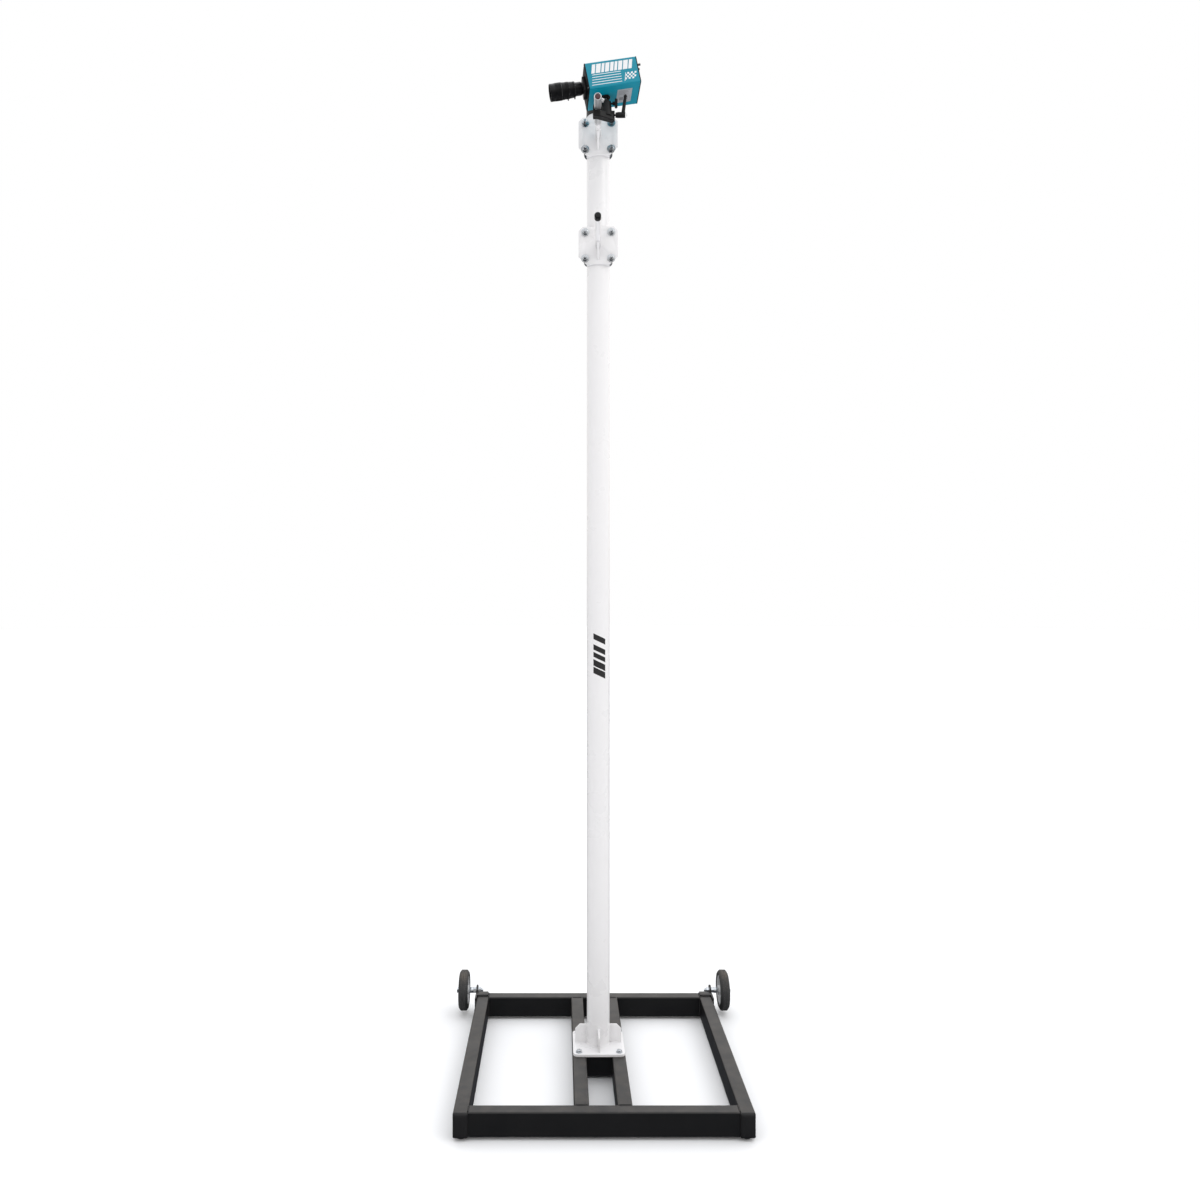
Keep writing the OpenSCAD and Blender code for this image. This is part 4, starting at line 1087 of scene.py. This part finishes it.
finished("upper_peg_plug_moulded", bm, "upper_peg_plug", ["upper_peg_plug"], material="plug_vinyl")

# %% [markdown]
# ## The head
# The sleeve that carries the head is turned from aluminium bar, and its bore has a small chamfer
# at both ends so that it slides onto the peg.
# %% Sleeve
matrix = bracket_frame["upper"]
low, high = reach("adapter_sleeve", matrix)
bore = 9.56 * MM
bm = bmesh.new()
spin(bm, matrix, soften([(bore + 0.8 * MM, low.z), (high.x - 0.9 * MM, low.z), (high.x, low.z + 0.9 * MM),
                         (high.x, high.z - 0.9 * MM), (high.x - 0.9 * MM, high.z),
                         (bore + 0.8 * MM, high.z), (bore, high.z - 0.8 * MM), (bore, low.z + 0.8 * MM)],
                        0.25 * MM, 2), 96)
finished("adapter_sleeve_turned", bm, "adapter_sleeve", ["adapter_sleeve"])


# %% [markdown]
# The thumb screw's head is knurled: its radius rises and falls with the angle. A plain cylinder
# with a bump map would not show that at its outline. The same helper makes the dust caps later.
# %% Thumb screw
def knurled(radius, low, high, teeth, depth, chamfer=0.7 * MM, rows=7):
    """A knurled disc: the ridges run straight up it and end in both chamfers."""
    def profile(angle):
        points = [(0.0, low), (radius - chamfer - depth, low)]
        for k in range(rows):
            s = k / (rows - 1)
            wave = 0.5 + 0.5 * math.cos(angle * teeth)
            points.append((radius - depth * (1 - wave), low + chamfer + (high - low - 2 * chamfer) * s))
        points += [(radius - chamfer - depth, high), (0.0, high)]
        return points
    return profile


HEAD_R = 6.25 * MM
screw = JOINTS["thumb_screw_turn"]
matrix = frame_at(screw["pos_m"], screw["axis"], peg_axis)
low, high = reach("thumb_screw", matrix)
head_low = high.z - 8.5 * MM
bm = bmesh.new()
spin(bm, matrix, knurled(HEAD_R, head_low, high.z, 30, 0.45 * MM), 180)
spin(bm, matrix, soften([(0, high.z - 0.1 * MM), (3.2 * MM, high.z - 0.1 * MM), (3.4 * MM, high.z),
                         (3.2 * MM, high.z - 0.6 * MM), (0, high.z - 0.6 * MM)], 0.1 * MM), 48)
spin(bm, matrix, thread(2.45 * MM, low.z, head_low + 0.5 * MM, 0.8 * MM), 24)
finished("thumb_screw_knurled", bm, "thumb_screw", ["thumb_screw"])

# %% [markdown]
# The clamp body is a sand casting, so it has no sharp edge anywhere. Bevels fail where cones and
# blocks run into each other, so the CAD shape is remeshed into even small faces and relaxed,
# which melts every edge into a fillet as a foundry pattern has. The machined bores are then cut
# again, clean and to size.
# %% Cast shapes
def cast(node, voxel, rounds, cutters, name):
    """Rounds a CAD node like a casting, then cuts its machined bores again."""
    mesh = frame["nodes"][node].data.copy()
    work = bpy.data.objects.new("pattern", mesh)
    bpy.context.scene.collection.objects.link(work)
    weld = work.modifiers.new("weld", "WELD")
    weld.merge_threshold = MERGE
    remesh = work.modifiers.new("remesh", "REMESH")
    remesh.mode = "VOXEL"
    remesh.voxel_size = voxel * MM
    relax = work.modifiers.new("relax", "SMOOTH")
    relax.factor = 0.5
    relax.iterations = rounds
    tools = []
    for matrix, profile in cutters:
        bm = bmesh.new()
        spin(bm, matrix, profile, 72, loop=False)
        bmesh.ops.remove_doubles(bm, verts=bm.verts, dist=0.001 * MM)
        bmesh.ops.recalc_face_normals(bm, faces=bm.faces)
        tool_mesh = bpy.data.meshes.new("cutter")
        bm.to_mesh(tool_mesh)
        bm.free()
        tool = bpy.data.objects.new("cutter", tool_mesh)
        bpy.context.scene.collection.objects.link(tool)
        cut = work.modifiers.new("cut", "BOOLEAN")
        cut.operation = "DIFFERENCE"
        cut.solver = "EXACT"
        cut.object = tool
        tools.append(tool)
    result = bpy.data.meshes.new_from_object(work.evaluated_get(bpy.context.evaluated_depsgraph_get()))
    result.name = name
    for scrap in [work, *tools]:
        bpy.data.objects.remove(scrap)
    return as_piece(name, result, node, [node], sharp=48)


def bore_tool(radius, low, high):
    return [(0, low), (radius, low), (radius, high), (0, high)]


# %% [markdown]
# The clamp body is cut by five tools: the sleeve's bore, the stud's hole and the two scooped
# barrels' bore along one axis, the knob's hole, and the socket, which is a dome a little larger
# than the ball that opens out at the top.
# %% Clamp body
SOCKET_GAP = 0.15 * MM
STUD_HOLE_R = 3.15 * MM
lever_joint = JOINTS["lever_turn"]
ball_centre = Vector(JOINTS["ball_lean"]["pos_m"])
stud_axis = frame_at(lever_joint["pos_m"], lever_joint["axis"], (0, 0, 1))
knob_axis = frame_at(ball_centre, JOINTS["knob_turn"]["axis"], (0, 0, 1))
ball_r = 10 * MM
socket = [(0, -ball_r - SOCKET_GAP)]
for k in range(1, 12):
    angle = math.pi * (k / 16 - 0.5)
    socket.append(((ball_r + SOCKET_GAP) * math.cos(angle), (ball_r + SOCKET_GAP) * math.sin(angle)))
socket += [(7.2 * MM, 5 * MM), (9.6 * MM, 12 * MM), (0, 12 * MM)]
cutters = [(bracket_frame["upper"], bore_tool(12.09 * MM, 0.17, 0.30)),
           (stud_axis, bore_tool(STUD_HOLE_R, -0.075, 0.03)),
           (stud_axis, bore_tool(6.1 * MM, -0.087, -0.0415)),
           (knob_axis, bore_tool(STUD_HOLE_R, 0, 0.06)), (Matrix.Translation(ball_centre), socket)]
cast("head_casting", 0.9, 4, cutters, "clamp_body_cast")
broken_edges("clamp_cotters", 0.3)

# %% [markdown]
# The lock lever is moulded in one flowing piece, so it gets the same treatment as the casting,
# with finer faces. A screw with a dished head holds it on its stud.
# %% Lock lever
cast("lock_lever", 0.55, 3, [], "lock_lever_moulded")
face = reach("lock_lever", stud_axis)[1].z
bm = bmesh.new()
spin(bm, stud_axis, soften([(0, face - 1.2 * MM), (4.4 * MM, face - 1.2 * MM),
                            (4.4 * MM, face - 0.2 * MM), (3.2 * MM, face), (2 * MM, face - 0.5 * MM),
                            (0, face - 0.5 * MM)], 0.25 * MM, loop=False), 40, loop=False)
finished("lever_screw", bm, "lock_lever", material="zinc_steel")

# %% [markdown]
# The ball knob is a moulded disc with finger flutes. The flutes are a smooth wave in the radius,
# and the face is dished with a small metal cap in the middle.
# %% Ball knob
FLUTES = 16
low, high = reach("ball_knob", knob_axis)
face = high.z
disc_low = face - 9 * MM
disc_r = 14.5 * MM


def fluted(angle):
    wave = 0.5 + 0.5 * math.cos(angle * FLUTES)
    rim = disc_r - 1.3 * MM * (1 - wave) ** 2
    return soften([(0, disc_low - 7 * MM), (5.9 * MM, disc_low - 7 * MM), (5.9 * MM, disc_low),
                   (rim - 1.2 * MM, disc_low), (rim, disc_low + 1.4 * MM), (rim, face - 1.8 * MM),
                   (rim - 1.6 * MM, face), (9 * MM, face), (7.5 * MM, face - 1.3 * MM),
                   (0, face - 1.3 * MM)], 0.8 * MM, loop=False)


bm = bmesh.new()
spin(bm, knob_axis, fluted, 192, loop=False)
spin(bm, knob_axis, [(0, low.z), (2.9 * MM, low.z), (2.9 * MM, disc_low - 6 * MM),
                     (0, disc_low - 6 * MM)], 32, loop=False)
finished("ball_knob_fluted", bm, "ball_knob", ["ball_knob"])
bm = bmesh.new()
spin(bm, knob_axis, soften([(0, face - 1.4 * MM), (5 * MM, face - 1.4 * MM), (5 * MM, face - 0.6 * MM),
                            (4.2 * MM, face - 0.25 * MM), (0, face - 0.2 * MM)], 0.3 * MM, loop=False),
     40, loop=False)
finished("knob_cap", bm, "ball_knob", material="satin_aluminium")

# %% [markdown]
# The ball and its neck are one turned piece, and the platform above it is a dished disc with a
# ribbed rubber face that grips the camera.
# %% Ball, stem and platform
up = Vector(JOINTS["camera_pan"]["axis"])
lens_axis = Vector(JOINTS["focus_turn"]["axis"])
matrix = frame_at(ball_centre, up, lens_axis)
high = reach("ball_stem", matrix)[1]
neck = [(0, -ball_r)]
for k in range(1, 15):
    angle = math.pi * (k / 20 - 0.5)
    neck.append((ball_r * math.cos(angle), ball_r * math.sin(angle)))
neck += [(5.5 * MM, 8.6 * MM), (5.5 * MM, high.z - 4 * MM), (6.4 * MM, high.z - 3 * MM),
         (7.6 * MM, high.z - 3 * MM), (8 * MM, high.z - 2.6 * MM), (8 * MM, high.z), (3.2 * MM, high.z),
         (3.2 * MM, high.z - 9 * MM), (0, high.z - 9 * MM)]
bm = bmesh.new()
spin(bm, matrix, neck, 72, loop=False)
finished("ball_stem_turned", bm, "ball_stem", ["ball_stem"])
low, high = reach("camera_platform", matrix)
plate_top = 21 * MM
disc_r = 18 * MM
pad_low = plate_top - 1.3 * MM
pad_r = disc_r - 1 * MM
bm = bmesh.new()
spin(bm, matrix, soften([(0, plate_top - 5 * MM), (disc_r - 2.4 * MM, plate_top - 5 * MM),
                         (disc_r, plate_top - 3 * MM), (disc_r, plate_top - 1.6 * MM),
                         (disc_r - 0.8 * MM, pad_low), (0, pad_low)], 0.5 * MM, loop=False), 96,
     loop=False)
spin(bm, matrix, [(0, low.z), (3.1 * MM, low.z), (3.1 * MM, high.z), (0, high.z)], 32, loop=False)
finished("platform_turned", bm, "camera_platform", ["camera_platform"])
bm = bmesh.new()
ribs = [(0, pad_low), (pad_r, pad_low), (pad_r, plate_top - 0.3 * MM)]
for k in range(13):
    r = disc_r - 1.8 * MM - k * 1.1 * MM
    ribs.append((r, plate_top - (0.03 if k % 2 else 0.5) * MM))
ribs.append((0, plate_top - 0.5 * MM))
spin(bm, matrix, ribs, 72, loop=False)
finished("platform_pad", bm, "camera_platform", material="black_rubber")

# %% [markdown]
# ## The camera
# The camera has a frame of its own: X to the rear, Y away from the side that the markings are
# on, Z up, with its origin under the middle of the case. The joints give its directions, so the
# case can be dressed without any measuring of tilted boxes.
# %% Camera frame
CAM = frame_at(ball_centre, up, -lens_axis)
low, high = reach("camera_shell", CAM)
rear_face = reach("camera_rear_plate", CAM)[1].x
front_face = reach("camera_front_plate", CAM)[0].x
middle = Vector(((front_face + rear_face) / 2, (low.y + high.y) / 2, low.z))
CAM = CAM @ Matrix.Translation(middle)
BODY_L = rear_face - front_face
BODY_W = high.y - low.y
BODY_H = high.z - low.z
HALF_L = BODY_L / MM / 2
HALF_W = BODY_W / MM / 2
TOP_Z = BODY_H / MM
print("case", [round(v / MM, 1) for v in (BODY_L, BODY_W, BODY_H)], "mm")


def cam_point(x, y, z):
    """A point in the camera's own frame, in millimetres."""
    return CAM @ Vector((x * MM, y * MM, z * MM))


# %% [markdown]
# The end plates are machined from thick sheet and stand a hair proud of the folded shell. They
# get a soft edge all round, and the front one keeps its opening behind the lens mount.
# %% End plates
for node in ("camera_front_plate", "camera_rear_plate"):
    broken_edges(node, 0.7, material="end_plate_black")

# %% [markdown]
# Case screws have a pan head with a cross recess. The head is turned, and its recess is sunk by
# four short walls: the profile dips wherever the angle is close to one of the cross's arms.
# %% Case screws
SCREW_INSET = 8
bm = bmesh.new()
for end in (-1, 1):
    for y in (-(HALF_W - SCREW_INSET), HALF_W - SCREW_INSET):
        for z in (SCREW_INSET, TOP_Z - SCREW_INSET):
            outward = CAM.to_3x3() @ Vector((end, 0, 0))
            matrix = frame_at(cam_point(end * HALF_L, y, z), outward, up)
            twist = (y * 7 + z * 3) % 90

            def cross_head(angle):
                arm = abs(math.degrees(angle) % 90 - 45) > 33
                dip = 0.7 * MM if arm else 0
                return [(0, 0), (3 * MM, 0), (3 * MM, 0.7 * MM), (2.5 * MM, 1.3 * MM),
                        (1.7 * MM, 1.55 * MM), (1.6 * MM, 1.56 * MM - dip), (0.5 * MM, 0.8 * MM),
                        (0, 0.8 * MM)]
            spin(bm, turned(matrix, twist), cross_head, 48, loop=False)
finished("case_screws_cross_head", bm, "case_screws", ["case_screws"])


# %% [markdown]
# The markings on the near side are screen-printed ink. They are plain sports-stripe shapes: a
# broad band of slanted blocks, five pinstripes and a small chequered flag. Each is a film a
# tenth of a millimetre thick, so it has an edge and its own gloss.
# %% Printed marks on the side
def print_film(bm, corners, side_y, thick=0.12):
    """A thin film on the case's side. Corners are (x, z) in the camera's frame, in millimetres."""
    outer = [bm.verts.new(cam_point(x, side_y - thick, z)) for x, z in corners]
    inner = [bm.verts.new(cam_point(x, side_y - 0.01, z)) for x, z in corners]
    bm.faces.new(outer)
    bm.faces.new(list(reversed(inner)))
    for k in range(len(corners)):
        after = (k + 1) % len(corners)
        bm.faces.new((outer[k], outer[after], inner[after], inner[k]))


def slanted_block(bm, x, z, width, height, slant, side_y):
    print_film(bm, [(x, z), (x + width, z), (x + width + slant, z + height), (x + slant, z + height)],
               side_y)


side_y = -HALF_W
left = -HALF_L
BLOCK_WIDTHS = (11, 15, 9, 13, 11, 9, 13, 15, 11)
BLOCK_GAP = 3.1
CHECK = 6
CHECK_SLANT = 1.6
bm = bmesh.new()
x = left + 17
for width in BLOCK_WIDTHS:
    slanted_block(bm, x, 50, width, 31, 8, side_y)
    x += width + BLOCK_GAP
for k in range(5):
    slanted_block(bm, left + 12 + 1.6 * k, 9 + 8.7 * k, 98 - 1.2 * k, 2.0, 0.5, side_y)
flag_x = left + 120
for row in range(4):
    for column in range(6):
        if (row + column) % 2 == 0:
            slanted_block(bm, flag_x + column * CHECK + row * CHECK_SLANT, 14 + row * CHECK, CHECK, CHECK,
                          CHECK_SLANT, side_y)
slanted_block(bm, flag_x - 1.8, 9, 1.8, 29, 7.8, side_y)
finished("side_markings", bm, "camera_shell", material="white_ink")

# %% [markdown]
# The rating label is a thin anodised plate. In place of lettering it has rows of plain grey bars
# and an empty frame, which is what such a label looks like from a metre away.
# %% Rating label
broken_edges("rating_label", 0.15, material="label_foil")
label_low = reach("rating_label", CAM)[0]
bm = bmesh.new()


def label_bar(x, y, width, depth):
    a = label_low.x / MM + x
    b = label_low.y / MM + y
    points = [(a, b), (a + width, b), (a + width, b + depth), (a, b + depth)]
    upper = [bm.verts.new(cam_point(p, q, label_low.z / MM + 0.02)) for p, q in points]
    lower = [bm.verts.new(cam_point(p, q, label_low.z / MM - 0.06)) for p, q in points]
    bm.faces.new(lower)
    bm.faces.new(list(reversed(upper)))
    for k in range(4):
        bm.faces.new((lower[k], lower[(k + 1) % 4], upper[(k + 1) % 4], upper[k]))


for row, length in enumerate((36, 30, 34, 22, 33)):
    label_bar(5, 6 + row * 5, length, 1.8)
label_bar(5, 34, 39, 0.6)
label_bar(5, 60, 39, 0.6)
label_bar(5, 34, 0.6, 26.6)
label_bar(43.4, 34, 0.6, 26.6)
label_bar(9, 39, 14, 16)
for row in range(4):
    label_bar(27, 40 + row * 4, 12, 1.6)
finished("label_bars", bm, "rating_label", material="grey_ink")

# %% [markdown]
# On the rear plate are two bayonet sockets, with their two pins, a hollow mouth and an insulator,
# and two round sockets under knurled dust caps.
# %% Rear connectors
bayonets = bmesh.new()
insulators = bmesh.new()
dust_caps = bmesh.new()
away = CAM.to_3x3() @ Vector((1, 0, 0))
for y in (-34, -12):
    matrix = frame_at(cam_point(HALF_L, y, TOP_Z - 14), away, up)
    spin(bayonets, matrix, soften([(0, 0), (6.5 * MM, 0), (6.5 * MM, 2.6 * MM), (4.8 * MM, 3.2 * MM),
                                   (4.7 * MM, 14 * MM), (4.0 * MM, 14 * MM), (3.9 * MM, 6 * MM),
                                   (0, 6 * MM)], 0.3 * MM, loop=False), 56, loop=False)
    spin(bayonets, matrix, hexagon(11.5 * MM, 0.6 * MM, 3.0 * MM), 72)
    for angle in (90, 270):
        pin = matrix @ Matrix.Translation((0, 0, 10 * MM)) @ Matrix.Rotation(math.radians(angle), 4, "Z")
        pin = pin @ Matrix.Rotation(math.radians(90), 4, "Y")
        spin(bayonets, pin, soften([(0, 3.6 * MM), (0.95 * MM, 3.6 * MM), (0.95 * MM, 5.9 * MM),
                                    (0, 6 * MM)], 0.25 * MM, loop=False), 20, loop=False)
    spin(insulators, matrix, soften([(0.7 * MM, 5.5 * MM), (2.6 * MM, 5.5 * MM), (2.6 * MM, 12.4 * MM),
                                     (0.7 * MM, 12.4 * MM)], 0.3 * MM), 32)
for y in (14, 38):
    matrix = frame_at(cam_point(HALF_L, y, TOP_Z - 16), away, up)
    spin(bayonets, matrix, soften([(0, 0), (10 * MM, 0), (10 * MM, 2.4 * MM), (8.6 * MM, 3 * MM),
                                   (0, 3 * MM)], 0.4 * MM, loop=False), 64, loop=False)
    spin(dust_caps, matrix, knurled(8 * MM, 2.8 * MM, 12 * MM, 36, 0.45 * MM), 216)
    spin(dust_caps, matrix, soften([(4.6 * MM, 11.8 * MM), (5.4 * MM, 12.0 * MM), (5.4 * MM, 11.2 * MM),
                                    (4.6 * MM, 11.2 * MM)], 0.1 * MM), 48)
finished("connector_shells", bayonets, "rear_connectors", ["rear_connectors"])
finished("connector_insulators", insulators, "rear_connectors", material="white_ink")
finished("connector_dust_caps", dust_caps, "rear_connectors", material="black_plastic")

# %% [markdown]
# ## The lens
# The lens is where the eye rests, so its rings get real grips. Focus, zoom and iris rings each
# have their own knurl: rows of raised squares with a plain collar beside them. The collars carry
# index ticks. All of it is turned round the lens's own axis.
# %% Lens frame
focus = JOINTS["focus_turn"]
LENS = frame_at(focus["pos_m"], focus["axis"], up)
broken_edges("lens_mount", 0.6)
broken_edges("lens_barrel", 0.45)


# %% [markdown]
# One function gives the section of a grip at any angle: full height on a block, sunk in a gap.
# %% Section of a grip
GRIP_RISE = 0.25


def grip(radius, low, high, teeth, rows, depth, bore, collar=3.0):
    """Rows of raised blocks between two plain collars. Heights are in millimetres."""
    def profile(angle):
        points = [(bore * MM, low * MM), ((radius - 0.5) * MM, low * MM), (radius * MM, (low + 0.5) * MM),
                  (radius * MM, (low + collar - 0.3) * MM)]
        gap = (math.degrees(angle) * teeth / 360) % 1 < 0.28
        floor_r = radius - depth
        start = low + collar
        pitch = (high - collar - start) / rows
        for row in range(rows):
            a = start + row * pitch
            block = floor_r if gap else radius + GRIP_RISE
            points += [(floor_r * MM, a * MM), (floor_r * MM, (a + 0.25) * MM),
                       (block * MM, (a + 0.45) * MM), (block * MM, (a + pitch - 0.2) * MM),
                       (floor_r * MM, (a + pitch - 0.02) * MM)]
        points += [(radius * MM, (high - collar + 0.3) * MM), (radius * MM, (high - 0.5) * MM),
                   ((radius - 0.5) * MM, high * MM), (bore * MM, high * MM)]
        return points
    return profile


# %% [markdown]
# The three rings differ in their teeth, their rows and their bore. The zoom and iris rings also
# carry a small lever pin on the underside.
# %% Focus, zoom and iris rings
# (teeth, rows, bore radius in millimetres)
RING_GRIPS = {"focus_ring": (54, 4, 24.0), "zoom_ring": (50, 2, 23.0), "iris_ring": (46, 1, 21.5)}
for node, (teeth, rows, bore) in RING_GRIPS.items():
    low, high = reach(node, LENS)
    radius = high.y / MM - GRIP_RISE
    bm = bmesh.new()
    spin(bm, LENS, grip(radius, low.z / MM, high.z / MM, teeth, rows, 0.7, bore), teeth * 6)
    if node != "focus_ring":
        pin_out = -low.x
        pin = LENS @ Matrix.Translation((0, 0, (low.z + high.z) / 2))
        pin = pin @ Matrix.Rotation(math.radians(-90), 4, "Y")
        spin(bm, pin, soften([(0, (radius - 1) * MM), (1.2 * MM, (radius - 1) * MM),
                              (1.2 * MM, pin_out - 6.6 * MM), (1.9 * MM, pin_out - 6.2 * MM),
                              (1.9 * MM, pin_out - 0.5 * MM), (0, pin_out)], 0.35 * MM, loop=False), 32,
             loop=False)
    finished(node + "_knurled", bm, node, [node], sharp=30)


# %% [markdown]
# Index ticks are paint in engraved lines. They are laid on the collars as thin film, long ones
# and short ones in turn, and turn with their ring.
# %% Index ticks
def tick(bm, angle, radius, low, high, width=0.5):
    spots = []
    for r in (radius + 0.05, radius - 0.05):
        for a, h in ((-width / 2, low), (width / 2, low), (width / 2, high), (-width / 2, high)):
            turn = math.radians(angle) + a / radius
            spots.append(bm.verts.new(LENS @ Vector((r * math.cos(turn) * MM, r * math.sin(turn) * MM,
                                                     h * MM))))
    bm.faces.new(spots[:4])
    bm.faces.new(list(reversed(spots[4:])))
    for k in range(4):
        bm.faces.new((spots[k], spots[4 + k], spots[4 + (k + 1) % 4], spots[(k + 1) % 4]))


TICK_SPACING = {"focus_ring": 15, "zoom_ring": 22, "iris_ring": 18}
for node, spacing in TICK_SPACING.items():
    low, high = reach(node, LENS)
    radius = high.y / MM - GRIP_RISE
    bm = bmesh.new()
    for k in range(int(300 / spacing)):
        length = 1.7 if k % 2 == 0 else 1.0
        start = low.z / MM + 0.7
        tick(bm, -150 + k * spacing, radius, start, start + length)
    finished(node + "_ticks", bm, node, material="white_ink")

# %% [markdown]
# The glass is two convex elements. The front one has a thin straight rim and a crown that rises
# as a parabola, which is close to a sphere for so shallow a curve.
# %% Front and rear glass
GLASS_R = 21.9 * MM
GLASS_RIM = 2.2 * MM
GLASS_CROWN = 5.2 * MM
glass_low, glass_high = reach("lens_elements", LENS)
back = glass_high.z - 7.5 * MM
rear_low = glass_low.z
bm = bmesh.new()
curve = [(0, back), (GLASS_R, back), (GLASS_R, back + GLASS_RIM)]
for k in range(9, -1, -1):
    r = GLASS_R * k / 10
    curve.append((r, back + GLASS_RIM + GLASS_CROWN * (1 - (r / GLASS_R) ** 2)))
spin(bm, LENS, curve, 72, loop=False)
spin(bm, LENS, [(0, rear_low), (8.9 * MM, rear_low), (8.9 * MM, rear_low + 2.5 * MM),
                (5 * MM, rear_low + 3.6 * MM), (0, rear_low + 4 * MM)], 48, loop=False)
finished("lens_glass_curved", bm, "lens_elements", ["lens_elements"])

# %% [markdown]
# Filters screw into the front of the barrel. Its threads are too fine to need a spiral, so they
# are plain ridges. A front ring without lettering closes the gap to the glass, and six dark
# baffle rings step inward behind it, so that no stray light shows inside the barrel.
# %% Filter threads and baffles
THREAD_ROOT = 24.42 * MM
THREAD_CREST = 24.05 * MM
front = reach("lens_barrel", LENS)[1].z
bm = bmesh.new()
teeth = [(THREAD_ROOT, front - 4.8 * MM)]
for k in range(7):
    teeth += [(THREAD_ROOT, front - (4.7 - 0.6 * k) * MM), (THREAD_CREST, front - (4.4 - 0.6 * k) * MM)]
teeth += [(THREAD_ROOT, front - 0.5 * MM)]
spin(bm, LENS, teeth, 96)
spin(bm, LENS, soften([(20.3 * MM, front - 5.0 * MM), (24.4 * MM, front - 5.0 * MM),
                       (24.4 * MM, front - 4.4 * MM), (21.3 * MM, front - 4.6 * MM),
                       (20.3 * MM, front - 4.9 * MM)], 0.15 * MM), 96)
finished("filter_thread_ring", bm, "lens_barrel")
bm = bmesh.new()
for k in range(6):
    z = back - (4 + 6 * k) * MM
    outer = 19.3 - 1.85 * k
    spin(bm, LENS, [((outer - 1.2) * MM, z), (outer * MM, z), (outer * MM, z - 0.6 * MM),
                    ((outer - 1.2) * MM, z - 0.6 * MM)], 72)
finished("lens_baffles", bm, "lens_barrel")

# %% [markdown]
# ## The nodes that keep their CAD shape
# Tubes, plates and turned parts whose shape is already right only need their finish.
# %% Give each remaining node its finish
for name, node in frame["nodes"].items():
    if not node.hide_render:
        node.data.materials.clear()
        node.data.materials.append(MATERIALS[SLOT_OF[name]])
